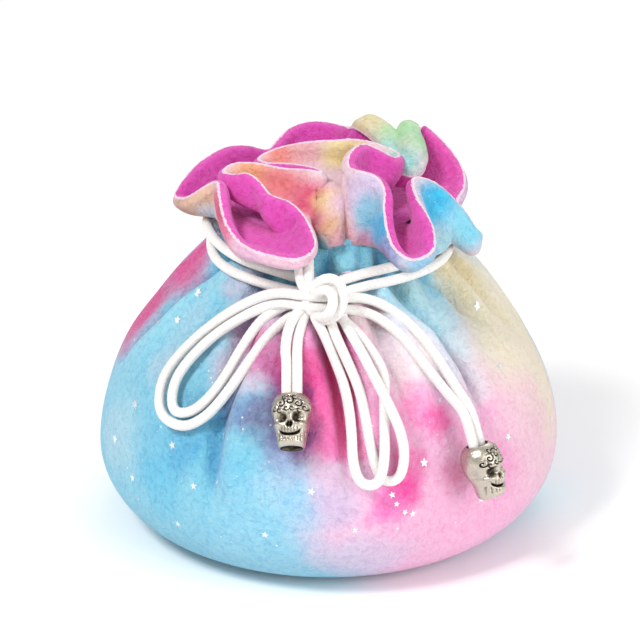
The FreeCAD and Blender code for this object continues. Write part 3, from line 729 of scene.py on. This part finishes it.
def star_mesh():
    """All the foil prints on the body as one thin mesh that follows the cloth."""
    places = []
    faces = []
    for azimuth, height, size, points, turn in STARS:
        centre, normal = on_body(azimuth, height, FOIL_LIFT)
        first = len(places)
        places.append((centre * MM).tolist())
        east = unit(np.cross((0.0, 0.0, 1.0), normal))
        north = np.cross(normal, east)
        for k in range(2 * points):
            angle = math.radians(turn) + math.pi * k / points
            reach = FOIL_SCALE * size * (STAR_WAISTS[points] if k % 2 else 1.0)
            flat = centre + (east * math.cos(angle) + north * math.sin(angle)) * reach
            a = math.degrees(math.atan2(flat[1], flat[0]))
            places.append((on_body(a, flat[2], FOIL_LIFT)[0] * MM).tolist())
        faces += [(first, first + 1 + k, first + 1 + (k + 1) % (2 * points)) for k in range(2 * points)]
    return face_mesh("foil_stars", places, faces, False)


# ---------------------------------------------------------------- bow knot

KNOT_WRAPS = {
    "wrap_outer": [(-5.0, -46.0, 95.0), (-3.6, -49.6, 97.0), (-1.6, -50.6, 99.4), (1.6, -51.2, 99.8),
                   (4.2, -52.0, 97.2), (4.6, -53.0, 93.2), (3.0, -53.2, 89.0), (-0.4, -51.6, 86.0),
                   (-3.4, -48.0, 85.2), (-4.4, -44.0, 86.8)],
    "wrap_inner": [(-4.0, -47.0, 92.0), (-3.2, -50.6, 95.0), (-0.8, -53.0, 97.0), (1.2, -54.4, 95.8),
                   (1.4, -55.0, 92.8), (0.0, -54.2, 89.2), (-2.6, -51.4, 86.8), (-4.6, -47.0, 86.4)],
    "riser_left": [(-9.6, -39.5, 103.0), (-9.0, -42.6, 100.6), (-8.8, -45.0, 98.2), (-8.0, -47.6, 95.8),
                   (-5.4, -48.4, 93.4), (-3.0, -46.8, 91.6)],
    "riser_right": [(-6.2, -39.5, 103.4), (-6.0, -43.2, 101.0), (-6.0, -46.0, 98.4), (-5.4, -48.6, 96.2),
                    (-3.2, -49.4, 94.0), (-1.0, -47.6, 92.0)],
    "wrap_back": [(2.0, -44.0, 95.0), (-1.5, -45.2, 97.0), (-5.4, -46.0, 95.6), (-7.0, -47.6, 92.0),
                  (-5.6, -48.6, 88.0), (-2.0, -48.0, 86.2), (1.6, -46.0, 86.6)],
}


# ---------------------------------------------------------------- buttonholes, hidden cords and end knots

def casing_line(side):
    """The hidden length of a drawstring: in through its buttonhole, once round the neck, and out."""
    exit_x, height = BUTTONHOLES[side]
    way = math.copysign(1.0, exit_x)
    bend_y = PAIR_HALF_SPACING + CASING_BEND
    bend_x = math.sqrt((CASING_RADIUS + CASING_BEND) ** 2 - bend_y ** 2)
    centre = np.array([bend_x, bend_y])
    inward = -centre / np.linalg.norm(centre)
    half = [(way * exit_x, PAIR_HALF_SPACING)]
    for share in np.linspace(0, 1, 9):
        reach = np.array([0.0, -1.0]) * (1 - share) + inward * share
        half.append(tuple(centre + CASING_BEND * reach / np.linalg.norm(reach)))
    turn = math.atan2(bend_y, bend_x)
    around = np.linspace(turn, TURN - turn, 160)[1:-1]
    ring = [(CASING_RADIUS * math.cos(a), CASING_RADIUS * math.sin(a)) for a in around]
    back = [(x, -y) for x, y in reversed(half)]
    return np.array([(way * x, y, height) for x, y in half + ring + back])


def whipped_edge(side):
    """Thread oversewn round a buttonhole, lying on the cloth."""
    exit_x, height = BUTTONHOLES[side]
    facing = 180.0 if exit_x < 0 else 0.0
    line = []
    reach = SLOT_HALF_HEIGHT + EDGE_THREAD
    for turn in np.linspace(0, 1.03 * TURN, 90):
        flat = max(-1.0, min(1.0, 3 * math.cos(turn)))
        across = (SLOT_HALF_WIDTH - SLOT_HALF_HEIGHT) * flat + reach * math.cos(turn)
        over = reach * math.sin(turn)
        line.append(on_body(facing + math.degrees(across / NECK_RADIUS), height + over, 0.2)[0])
    return tube_mesh("buttonhole_edge_" + side, np.array(line), EDGE_THREAD, 0.12, 10, 0.28, 0.8)


def end_knot_mesh(side):
    """The tail's end wound into a small stopper knot inside the bead."""
    centre, up, sideways = (np.array(v) for v in bead_axes(side))
    ahead = np.cross(sideways, up)
    turns = np.linspace(0, 2.2 * TURN, 80)[:, None]
    heights = np.linspace(-3.1, -4.7, 80)[:, None]
    line = centre + up * heights + 1.75 * (sideways * np.cos(turns) + ahead * np.sin(turns))
    return tube_mesh("end_winding_" + side, line, CORD_RADIUS)


# ---------------------------------------------------------------- skull beads

# height, half width, front depth, back depth of the skull's outline, from its top rim to its chin rim
SKULL_LEVELS = [
    (8.25, 3.75, 3.75, 3.75), (8.1, 4.2, 4.3, 4.2), (7.3, 5.1, 5.3, 5.1), (5.8, 5.9, 6.2, 6.0),
    (4.0, 6.25, 6.6, 6.5), (2.2, 6.3, 6.7, 6.6), (0.8, 6.1, 6.4, 6.5), (-0.6, 5.7, 6.1, 6.1),
    (-1.8, 5.6, 6.2, 5.4), (-2.8, 5.1, 6.4, 4.9), (-3.8, 4.75, 6.2, 4.5), (-4.9, 4.55, 5.6, 4.4),
    (-6.0, 4.45, 5.7, 4.3), (-7.2, 4.3, 5.4, 4.2), (-8.0, 4.0, 4.6, 4.0), (-8.3, 3.8, 4.1, 3.8),
]
# engraved swirls on the forehead: place across, height and reach
SKULL_SWIRLS = [(0.0, 5.2, 1.5), (-2.7, 4.4, 1.3), (2.7, 4.4, 1.3), (-4.7, 3.2, 1.1), (4.7, 3.2, 1.1),
                (-0.9, 2.8, 0.9), (0.9, 2.8, 0.9), (-3.0, 2.3, 0.8), (3.0, 2.3, 0.8),
                (-1.6, 6.6, 0.9), (1.6, 6.6, 0.9)]
TOOTH_PITCH = 0.95


def dent(x, z, centre_x, centre_z, half_x, half_z, power=2.0):
    """A rounded hollow with a fairly sharp edge, 1 deep at its centre."""
    reach = (np.abs(x - centre_x) / half_x) ** power + (np.abs(z - centre_z) / half_z) ** power
    return np.exp(-reach ** 1.6)


def skull_relief(x, y, z, facing):
    """Depth of the hollows and engraving, in millimetres, and the share of dark wax left in them."""
    side = np.abs(x)
    sockets = 1.9 * dent(side, z, 2.55, 0.15, 1.55, 1.25, 2.4)
    nose = 1.3 * dent(side, z, 0.42, -1.9, 0.55, 0.95)
    arch = -3.2 - 1.9 * (1 - np.clip(side / 3.6, 0, 1) ** 2) ** 0.7
    mouth = 1.1 * np.exp(-((z - arch) / 0.36) ** 2) * (1 - smooth(side, 3.0, 3.9))
    gaps = np.cos(x * TURN / TOOTH_PITCH) < -0.35
    teeth = 0.28 * gaps * smooth(z, arch + 0.3, arch + 0.7) * (1 - smooth(z, -3.0, -2.6))
    teeth = teeth * (1 - smooth(side, 2.6, 3.1))
    lower = 0.25 * gaps * (1 - smooth(z, arch - 1.1, arch - 0.7)) * smooth(z, -7.0, -6.6)
    cheek = -0.5 * dent(side, z, 3.6, -1.9, 1.4, 0.7)
    brow = -0.45 * dent(side, z, 2.4, 1.75, 2.2, 0.6)
    temple = 0.6 * np.exp(-(((y + 0.6) / 2.3) ** 2 + ((z - 0.6) / 2.1) ** 2) ** 1.5) * (side > 3.5)
    engraving = np.zeros_like(x)
    for cx, cz, size in SKULL_SWIRLS:
        reach = np.hypot(x - cx, z - cz)
        curl = np.cos(reach * 5.2 - np.arctan2(z - cz, x - cx))
        line = 0.42 * smooth(curl, 0.1, 0.7) * (1 - smooth(reach, size, size * 1.35))
        engraving = np.maximum(engraving, line)
    face = (sockets + nose + mouth + teeth + lower + cheek + brow + engraving) * facing
    wax = (0.33 * sockets + 0.6 * nose + 0.75 * mouth + 1.6 * teeth + 1.6 * lower + 1.7 * engraving) * facing
    return face + temple, np.clip(wax + 0.45 * temple, 0, 1)


def skull_mesh(side):
    """A skull bead with an open bore, its face hollowed and engraved."""
    levels = np.array(SKULL_LEVELS)[::-1]
    stretches = ((BEAD_TOP, 7.0, 10), (6.9, -7.9, 120), (-8.0, BEAD_FOOT, 5))
    heights = np.concatenate([np.linspace(*stretch) for stretch in stretches])
    half_x, front, back = (np.interp(heights, levels[:, 0], levels[:, k])[:, None] for k in (1, 2, 3))
    blur = np.array([1, 4, 6, 4, 1]) / 16.0
    angle = np.linspace(0, TURN, 220, endpoint=False)[None, :]
    depth = np.where(np.sin(angle) < 0, front, back)
    for _ in range(6):
        for half in (half_x, depth):
            half[2:-2] = sum(w * half[k:len(half) - 4 + k] for k, w in enumerate(blur))
    x = half_x * np.cos(angle)
    y = depth * np.sin(angle)
    z = heights[:, None] + 0 * angle
    facing = smooth(-np.sin(angle), 0.05, 0.45)
    relief, wax = skull_relief(x, y, z, facing)
    relief *= smooth(z, -8.2, -7.6) * (1 - smooth(z, 7.4, 8.1))
    length = np.hypot(x, y)
    share = np.maximum(length - relief, 3.7) / length
    outer = np.stack([x * share, y * share, z], -1)
    level = np.linspace(BEAD_FOOT, BEAD_TOP, 14)[:, None] + 0 * angle
    bore = BEAD_BORE + 0 * level
    inner = np.stack([bore * np.cos(angle), bore * np.sin(angle), level], -1)
    rows = np.concatenate([outer, inner, outer[:1]])
    centre, up, right = (np.array(v) for v in bead_axes(side))
    turned = rows @ np.array([right, np.cross(up, right), up]) + centre
    hollow = np.concatenate([wax, 0 * level + 0.55, wax[:1]])
    return mark(grid_mesh("skull_" + side, turned), "hollow", hollow)


# ---------------------------------------------------------------- materials

def tint(red, green, blue):
    """A linear colour from its usual 0 to 255 values."""
    shares = np.array([red, green, blue]) / 255.0
    linear = np.where(shares <= 0.04045, shares / 12.92, ((shares + 0.055) / 1.055) ** 2.4)
    return (*linear.tolist(), 1.0)


class Shader:
    """Builds one node material; its methods return output sockets. Object coordinates are in millimetres."""

    def __init__(self, name):
        self.material = bpy.data.materials.new(name)
        self.material.use_nodes = True
        self.tree = self.material.node_tree
        self.tree.nodes.clear()
        place = self.tree.nodes.new("ShaderNodeTexCoord").outputs["Object"]
        self.place = self.vector("SCALE", place, Scale=1 / MM)

    def node(self, kind, inputs, output=0, **settings):
        """A new node with its settings, its inputs linked or set, and the output asked for."""
        made = self.tree.nodes.new(kind)
        for key, value in settings.items():
            setattr(made, key, value)
        for key, value in inputs.items():
            if isinstance(value, bpy.types.NodeSocket):
                self.tree.links.new(value, made.inputs[key])
            else:
                made.inputs[key].default_value = value
        return made.outputs[output]

    def vector(self, operation, first, **others):
        """A vector sum; others are second, the other vector, or Scale."""
        inputs = {0: first, **others}
        if "second" in others:
            inputs[1] = inputs.pop("second")
        return self.node("ShaderNodeVectorMath", inputs, operation=operation)

    def noise(self, scale, detail=3.0, rough=0.55, place=None, output="Fac", distortion=0.0):
        inputs = {"Vector": place or self.place, "Scale": scale, "Detail": detail, "Roughness": rough,
                  "Distortion": distortion}
        return self.node("ShaderNodeTexNoise", inputs, output)

    def math(self, operation, first, second=0.0):
        return self.node("ShaderNodeMath", {0: first, 1: second}, operation=operation)

    def ramp(self, value, low, high, start=0.0, end=1.0):
        inputs = {"Value": value, "From Min": low, "From Max": high, "To Min": start, "To Max": end}
        return self.node("ShaderNodeMapRange", inputs, interpolation_type="SMOOTHSTEP")

    def mix(self, share, first, second, blend="MIX"):
        inputs = {0: share, 6: first, 7: second}
        return self.node("ShaderNodeMix", inputs, 2, data_type="RGBA", blend_type=blend)

    def warped(self, reach, scale, seed):
        """The place, pushed about by noise, so that dye spreads unevenly."""
        shifted = self.vector("ADD", self.place, second=(seed, 1.7 * seed, -seed))
        cloud = self.noise(scale, 4.0, 0.6, shifted, "Color")
        centred = self.vector("SUBTRACT", cloud, second=(0.5, 0.5, 0.5))
        return self.vector("ADD", self.place, second=self.vector("SCALE", centred, Scale=reach))

    def dyed(self, base, blobs, place):
        """The base colour with each cloud of dye laid over it in turn."""
        colour = tint(*base)
        for centre, radius, strength, shade in blobs:
            reach = self.node("ShaderNodeVectorMath", {0: place, 1: centre}, "Value", operation="DISTANCE")
            share = self.ramp(reach, radius * 0.35, radius * 1.2, strength, 0.0)
            colour = self.mix(share, colour, tint(*shade))
        return colour

    def bump(self, height, distance):
        return self.node("ShaderNodeBump", {"Height": height, "Distance": distance * MM, "Strength": 1.0})

    def finish(self, colour, rough, **values):
        """The shader itself; values are its constant inputs, and may hold linked sockets."""
        surface = self.node("ShaderNodeBsdfPrincipled", {"Base Color": colour, "Roughness": rough, **values})
        end = self.tree.nodes.new("ShaderNodeOutputMaterial")
        self.tree.links.new(surface, end.inputs["Surface"])
        return self.material


# the dye: centre in millimetres, radius, strength and colour of each cloud, laid one over the other
BODY_BASE = (130, 206, 231)
BODY_DYE = [
    ((48, -46, 34), 52, 1.0, (249, 180, 217)), ((10, -74, 34), 26, 0.9, (247, 198, 226)),
    ((31, -67, 18), 30, 0.8, (250, 182, 218)), ((68, -22, 38), 32, 0.9, (240, 202, 214)),
    ((14, -60, 62), 22, 1.0, (247, 186, 214)), ((8, -46, 82), 13, 0.9, (238, 206, 205)),
    ((24, -47, 72), 13, 0.9, (244, 226, 230)), ((58, -8, 68), 36, 1.0, (235, 227, 198)),
    ((66, -18, 54), 22, 0.9, (238, 226, 202)), ((42, -12, 86), 15, 1.0, (232, 218, 176)),
    ((60, -32, 46), 16, 0.7, (242, 196, 214)), ((24, -33, 88), 9, 1.0, (170, 212, 218)),
    ((32, -36, 79), 10, 0.9, (184, 222, 230)), ((40, -39, 69), 10, 0.8, (206, 228, 234)),
    ((46, -42, 60), 8, 0.6, (222, 226, 232)), ((13, -62, 56), 15, 0.7, (250, 160, 208)),
    ((-6, -52, 76), 16, 0.9, (232, 120, 180)), ((-2, -57, 67), 15, 1.0, (236, 84, 160)),
    ((1, -65, 57), 13, 0.95, (246, 118, 182)), ((5, -50, 76), 9, 0.9, (240, 120, 180)),
    ((-8, -45, 82), 8, 0.7, (226, 150, 190)), ((28, -56, 61), 9, 0.8, (250, 150, 202)),
    ((33, -57, 55), 7, 0.9, (250, 104, 176)), ((24, -67, 46), 9, 0.8, (246, 124, 184)),
    ((22, -70, 38), 8, 1.0, (252, 84, 170)), ((17, -72, 33), 8, 0.85, (251, 120, 196)),
    ((38, -62, 38), 7, 0.55, (226, 110, 160)), ((54, -48, 36), 9, 0.5, (248, 150, 204)),
    ((-24, -48, 68), 13, 0.9, (224, 204, 222)), ((-21, -40, 82), 12, 0.9, (224, 188, 212)),
    ((-15, -60, 60), 10, 0.95, (140, 92, 146)), ((-20, -62, 56), 9, 0.8, (118, 120, 166)),
    ((-13, -66, 52), 9, 0.8, (146, 92, 160)), ((-12, -71, 46), 6, 0.7, (156, 104, 172)),
    ((-27, -58, 58), 8, 0.7, (112, 140, 190)), ((-48, -52, 47), 12, 0.95, (24, 160, 214)),
    ((-36, -60, 48), 9, 0.45, (110, 190, 222)),
    ((-41, -50, 56), 9, 0.8, (96, 174, 210)), ((-55, -47, 40), 14, 0.7, (64, 182, 226)),
    ((-30, -66, 42), 10, 0.5, (96, 190, 232)), ((-55, -40, 50), 24, 0.7, (126, 202, 228)),
    ((-52, -52, 30), 12, 0.5, (86, 196, 232)), ((-68, -30, 38), 15, 0.6, (176, 216, 230)),
    ((-42, -30, 74), 12, 0.6, (160, 208, 230)), ((-52, -34, 62), 10, 0.5, (196, 214, 228)),
    ((-20, -46, 75), 9, 0.9, (218, 96, 156)), ((-16, -53, 69), 9, 0.95, (190, 84, 146)),
    ((-9, -53, 72), 8, 0.8, (226, 90, 150)), ((-13, -59, 64), 8, 0.9, (160, 70, 134)),
    ((-22, -49, 72), 7, 0.8, (206, 110, 166)), ((-18, -63, 58), 7, 0.7, (112, 96, 136)),
    ((-8, -67, 53), 8, 0.85, (136, 70, 134)), ((-16, -68, 49), 8, 0.7, (126, 128, 180)),
    ((1, -61, 63), 7, 0.8, (246, 104, 170)), ((5, -68, 53), 8, 0.8, (246, 120, 184)),
    ((16, -63, 58), 8, 0.7, (248, 150, 200)), ((8, -41, 85), 7, 0.8, (236, 176, 196)),
    ((-14, -72, 40), 12, 0.75, (170, 212, 238)), ((-8, -73, 36), 9, 0.6, (146, 208, 240)),
    ((3, -74, 34), 8, 0.6, (196, 186, 222)), ((1, -73, 42), 8, 0.6, (228, 196, 224)),
    ((-22, -70, 20), 24, 0.6, (152, 216, 242)),
    ((12, -72, 14), 15, 0.55, (205, 208, 234)), ((-27, -27, 90), 8, 0.6, (206, 186, 208)),
    ((-44, 2, 84), 17, 1.0, (214, 82, 148)), ((-60, 8, 66), 19, 1.0, (208, 62, 136)),
    ((-72, 12, 50), 14, 0.9, (216, 84, 150)), ((-46, 44, 62), 30, 0.9, (244, 168, 208)),
    ((0, 68, 44), 36, 0.9, (140, 206, 232)), ((44, 46, 60), 30, 0.9, (236, 226, 196)),
    ((60, 28, 26), 26, 0.8, (248, 180, 220)), ((-62, 30, 28), 28, 0.8, (120, 200, 230)),
    ((8, 56, 76), 18, 0.9, (232, 98, 166)), ((-22, 68, 22), 22, 0.8, (190, 170, 220)),
    ((30, 66, 40), 14, 0.8, (250, 110, 180)),
]
RUFFLE_BASE = (238, 206, 214)
RUFFLE_DYE = [
    ((-42, -8, 106), 12, 1.0, (222, 180, 150)), ((-46, 0, 104), 8, 0.8, (196, 150, 130)),
    ((-38, -14, 112), 8, 0.9, (236, 190, 160)), ((-36, -12, 102), 8, 0.8, (170, 190, 216)),
    ((-33, -30, 108), 12, 1.0, (226, 110, 150)), ((-32, -24, 112), 9, 0.9, (206, 84, 120)),
    ((-24, -44, 103), 11, 1.0, (236, 186, 214)), ((-10, -46, 102), 12, 1.0, (240, 196, 214)),
    ((-22, -8, 118), 11, 1.0, (240, 170, 130)), ((-13, -14, 116), 10, 1.0, (232, 128, 132)),
    ((-5, -22, 112), 10, 1.0, (222, 86, 120)), ((-2, -28, 106), 8, 0.9, (196, 70, 96)),
    ((-14, 5, 120), 9, 1.0, (240, 150, 140)), ((-6, 4, 123), 8, 0.9, (238, 176, 180)),
    ((4, 0, 123), 8, 1.0, (240, 218, 160)), ((6, 2, 118), 9, 1.0, (238, 212, 150)),
    ((1, -24, 113), 7, 1.0, (236, 204, 140)), ((2, -30, 107), 6, 1.0, (226, 190, 120)),
    ((-2, -33, 101), 7, 1.0, (110, 176, 182)), ((6, -27, 116), 8, 0.9, (232, 190, 206)),
    ((7, -33, 106), 8, 0.9, (226, 176, 190)), ((12, -26, 119), 9, 1.0, (214, 196, 226)),
    ((14, -30, 112), 8, 0.9, (120, 186, 214)), ((13, -36, 105), 6, 0.8, (208, 60, 140)),
    ((18, -36, 109), 8, 1.0, (60, 170, 216)), ((20, -42, 104), 7, 0.9, (110, 140, 200)),
    ((18, -40, 99), 7, 0.9, (150, 80, 150)), ((28, -46, 102), 9, 0.8, (100, 190, 224)),
    ((33, -36, 106), 11, 1.0, (110, 204, 232)), ((34, -20, 112), 11, 1.0, (60, 186, 228)),
    ((44, -14, 104), 12, 1.0, (130, 210, 234)), ((40, -24, 98), 10, 0.9, (150, 214, 226)),
    ((46, -2, 100), 10, 0.7, (190, 160, 214)), ((48, 14, 104), 14, 0.9, (200, 170, 220)),
    ((34, 26, 112), 12, 1.0, (180, 220, 170)), ((24, 18, 120), 14, 1.0, (176, 222, 168)),
    ((14, 26, 122), 11, 1.0, (226, 214, 160)), ((28, 12, 120), 8, 0.8, (150, 216, 160)),
    ((24, 4, 116), 8, 0.9, (136, 214, 204)), ((19, 10, 118), 6, 0.8, (150, 220, 210)),
    ((10, 34, 118), 12, 1.0, (226, 216, 176)), ((-4, 46, 110), 16, 0.9, (150, 210, 232)),
    ((-24, 34, 108), 16, 0.9, (240, 180, 210)), ((-40, 16, 108), 12, 0.9, (232, 170, 200)),
]
LINING_BASE = (222, 74, 178)
LINING_DYE = [((-30, -20, 112), 30, 0.5, (232, 84, 190)), ((40, 10, 112), 26, 0.6, (226, 84, 172))]


def plush(name, base, dye, glitter, spread=17.0):
    """Short-pile plush: dyed cloud colours, brushed nap, a soft sheen and, on the print, fine foil dust;
    painted shade in its folds and painted highlight on their ridges.
    """
    shader = Shader(name)
    colour = shader.dyed(base, dye, shader.warped(spread, 0.05, 3.0))
    clumps = shader.noise(0.55, 4.0, 0.62, distortion=0.6)
    pile = shader.noise(2.1, 3.0, 0.7)
    shades = [(shader.ramp(clumps, 0.34, 0.70, 0.0, 0.34), tint(255, 250, 252)),
              (shader.ramp(clumps, 0.52, 0.28, 0.0, 0.30), (0.0, 0.0, 0.02, 1.0)),
              (shader.ramp(pile, 0.62, 0.30, 0.0, 0.20), (0.02, 0.0, 0.05, 1.0))]
    for share, over in shades:
        colour = shader.mix(share, colour, over, "SOFT_LIGHT")
    if glitter:
        cells = shader.node("ShaderNodeTexVoronoi", {"Vector": shader.place, "Scale": 0.38}, "Distance")
        patches = shader.ramp(shader.noise(0.07, 2.0), 0.52, 0.66)
        dust = shader.math("MULTIPLY", shader.ramp(cells, 0.16, 0.07), patches)
        colour = shader.mix(dust, colour, tint(252, 250, 252))
    # painted shade and painted highlight: darker where the folds mark is high (crease and gather valleys, the
    # ruffle near the neck), lighter where it is low (ridges and lips)
    folds = shader.node("ShaderNodeAttribute", {}, "Fac", attribute_name="folds")
    shades = [(shader.ramp(folds, 0.55, 1.0, 0.0, 0.55), (0.05, 0.02, 0.08, 1.0)),
              (shader.ramp(folds, 0.46, 0.10, 0.0, 0.35), tint(255, 252, 253))]
    for share, over in shades:
        colour = shader.mix(share, colour, over, "SOFT_LIGHT")
    height = shader.math("ADD", shader.math("MULTIPLY", pile, 0.5), clumps)
    normal = shader.bump(height, 1.15)
    return shader.finish(colour, 0.82, Normal=normal, **{
        "Sheen Weight": 0.35, "Sheen Roughness": 0.45, "Sheen Tint": tint(255, 238, 248),
        "Specular IOR Level": 0.25})


def cord_white():
    """Soft knitted cord, whose chevron ribs are in its mesh: fine noise bumps and a light mottle between two
    off-whites.
    """
    shader = Shader("cord_white")
    ribs = shader.noise(1.7, 2.0, 0.5)
    fine = shader.noise(4.5, 2.0, 0.6)
    height = shader.math("ADD", shader.math("MULTIPLY", ribs, 0.6), shader.math("MULTIPLY", fine, 0.5))
    colour = shader.mix(shader.ramp(ribs, 0.3, 0.7), tint(232, 228, 224), tint(246, 243, 240))
    return shader.finish(colour, 0.75, Normal=shader.bump(height, 0.35), **{
        "Sheen Weight": 0.25, "Specular IOR Level": 0.3})


def thread(name, shade):
    shader = Shader(name)
    twist = shader.noise(3.0, 2.0)
    return shader.finish(tint(*shade), 0.6, Normal=shader.bump(twist, 0.12), **{"Sheen Weight": 0.2})


def antique_metal():
    """Cast metal with dark wax left in its hollows, which the mesh marks."""
    shader = Shader("antique_metal")
    hollow = shader.node("ShaderNodeAttribute", {}, "Fac", attribute_name="hollow")
    stain = shader.noise(0.9, 4.0, 0.6)
    dark = shader.ramp(shader.math("ADD", hollow, shader.math("MULTIPLY", stain, 0.35)), 0.30, 0.85)
    colour = shader.mix(dark, tint(196, 188, 174), tint(44, 38, 32))
    rough = shader.ramp(stain, 0.3, 0.7, 0.22, 0.38)
    return shader.finish(colour, rough, Normal=shader.bump(shader.noise(2.4, 3.0), 0.10), Metallic=1.0)


def foil():
    shader = Shader("foil")
    rough = shader.ramp(shader.noise(1.5), 0.3, 0.7, 0.25, 0.5)
    return shader.finish(tint(232, 240, 246), rough, Metallic=0.5)


def floor_paper():
    shader = Shader("floor_paper")
    return shader.finish(tint(252, 252, 252), shader.ramp(shader.noise(0.02), 0.3, 0.7, 0.75, 0.85))


def paint(obj, material):
    obj.data.materials.clear()
    obj.data.materials.append(material)


# ---------------------------------------------------------------- light and floor

# lamps: name, place and size in metres, power in watts
LAMPS = [("key", (-0.55, -0.55, 0.95), 0.30, 8.7), ("fill", (0.9, -0.7, 0.5), 0.8, 7.5),
         ("back", (0.2, 0.9, 0.9), 0.6, 3.0)]
SKY = 0.56


def make_studio():
    world = bpy.data.worlds.new("studio")
    world.use_nodes = True
    background = world.node_tree.nodes["Background"]
    background.inputs[0].default_value = (1, 1, 1, 1)
    background.inputs[1].default_value = SKY
    scene = bpy.context.scene
    scene.world = world
    scene.view_settings.view_transform = "Standard"
    for name, place, size, power in LAMPS:
        lamp = link(bpy.data.objects.new(name, bpy.data.lights.new(name, "AREA")))
        lamp.data.energy = power
        lamp.data.size = size
        lamp.location = place
        lamp.rotation_mode = "QUATERNION"
        lamp.rotation_quaternion = (Vector((0, 0, 0.06)) - Vector(place)).to_track_quat("-Z", "Y")
    floor = face_mesh("floor", [(-3, -3, 0), (3, -3, 0), (3, 3, 0), (-3, 3, 0)], [(0, 1, 2, 3)], False)
    floor.location.z = -0.0002
    paint(floor, floor_paper())


# ---------------------------------------------------------------- build

def keep(obj, body, slot_name, material, *stands_for):
    """Puts a finished piece on its body, with its look and the CAD nodes it stands for; its material slot
    name is not used.
    """
    paint(obj, material)
    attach(obj, body)
    if stands_for:
        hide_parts(*stands_for)
    return obj


make_camera()
make_studio()
PRINT = plush("plush_print", BODY_BASE, BODY_DYE, True)
RUFFLE_PRINT = plush("ruffle_print", RUFFLE_BASE, RUFFLE_DYE, True, 7.0)
LINING = plush("plush_lining", LINING_BASE, LINING_DYE, False)
CORD = cord_white()
METAL = antique_metal()
FOIL = foil()
THREAD = thread("seam_thread", (226, 196, 214))
EDGE = plush("edge_plush", (246, 206, 222), [], False)

surface, folds = layer(360, 225, 45, 0.0, CLOTH)
bag = mark(grid_mesh("plush_body", surface), "folds", folds)
keep(bag, "root", "printed_plush", PRINT, "outer_body")
surface, folds = layer(240, 60, 140, CLOTH + LAYER_GAP, 2 * CLOTH)
inside = mark(grid_mesh("lining_bag", surface), "folds", folds)
keep(inside, "root", "lining_plush", LINING, "lining_body")
middle = ruffle_middle(900, 40)
# painted shade: the ruffle's cloth marked darker towards the neck, where it lies deep between its folds
shade = np.interp(np.arange(len(middle)), (0, 13), (0.95, 0.5))[:, None] + np.zeros(middle.shape[:2])
frill_out = mark(grid_mesh("plush_ruffle", ruffle_side(middle, 1)), "folds", shade)
keep(frill_out, "root", "printed_plush", RUFFLE_PRINT, "outer_frill")
frill_in = mark(grid_mesh("lining_ruffle", ruffle_side(middle, -1)), "folds", shade)
keep(frill_in, "root", "lining_plush", LINING, "lining_frill")
edge = keep(rim_seam(middle), "root", "printed_plush", EDGE, "rim_seam")
throat = grid_mesh("lining_pleats", throat_surface(480, 26))
keep(throat, "root", "lining_plush", LINING, "lining_throat")
for row, height, count in (("lower", CHANNEL_LOW, 64), ("upper", CHANNEL_HIGH, 60)):
    stitches = stitch_row("stitches_" + row, height, count)
    keep(stitches, "root", "seam_thread", THREAD, "channel_stitch_" + row)
keep(star_mesh(), "root", "printed_plush", FOIL)

for wrap_name, wrap_points in KNOT_WRAPS.items():
    wound = tube_mesh("knot_" + wrap_name, spline_line(wrap_points), CORD_RADIUS)
    keep(wound, "root", "white_cord", CORD)
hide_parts("bow_knot")

for side in BEADS:
    keep(skull_mesh(side), side + "_bead", "bead_metal", METAL, "skull_bead_" + side)

for side in BEADS:
    hidden = tube_mesh("casing_run_" + side, casing_line(side), CORD_RADIUS)
    keep(hidden, "root", "white_cord", CORD, "casing_cord_" + side)
    keep(whipped_edge(side), "root", "seam_thread", THREAD, "buttonhole_" + side)
    keep(end_knot_mesh(side), side + "_tail_end", "white_cord", CORD, "end_knot_" + side)

for strand_name, strand in STRANDS.items():
    line = spline_line(strand_points(strand))
    cord = keep(tube_mesh("cord_" + strand_name, line, CORD_RADIUS), "root", "white_cord", CORD, strand_name)

MATERIALS = {"printed_plush": PRINT, "lining_plush": LINING, "seam_thread": THREAD, "white_cord": CORD,
             "bead_metal": METAL}
SLOTS = {part["node"]: part["material_slot"] for part in frame["record"]["subparts"]}
for node_name, node in frame["nodes"].items():
    paint(node, MATERIALS[SLOTS[node_name]])

bpy.context.view_layer.update()
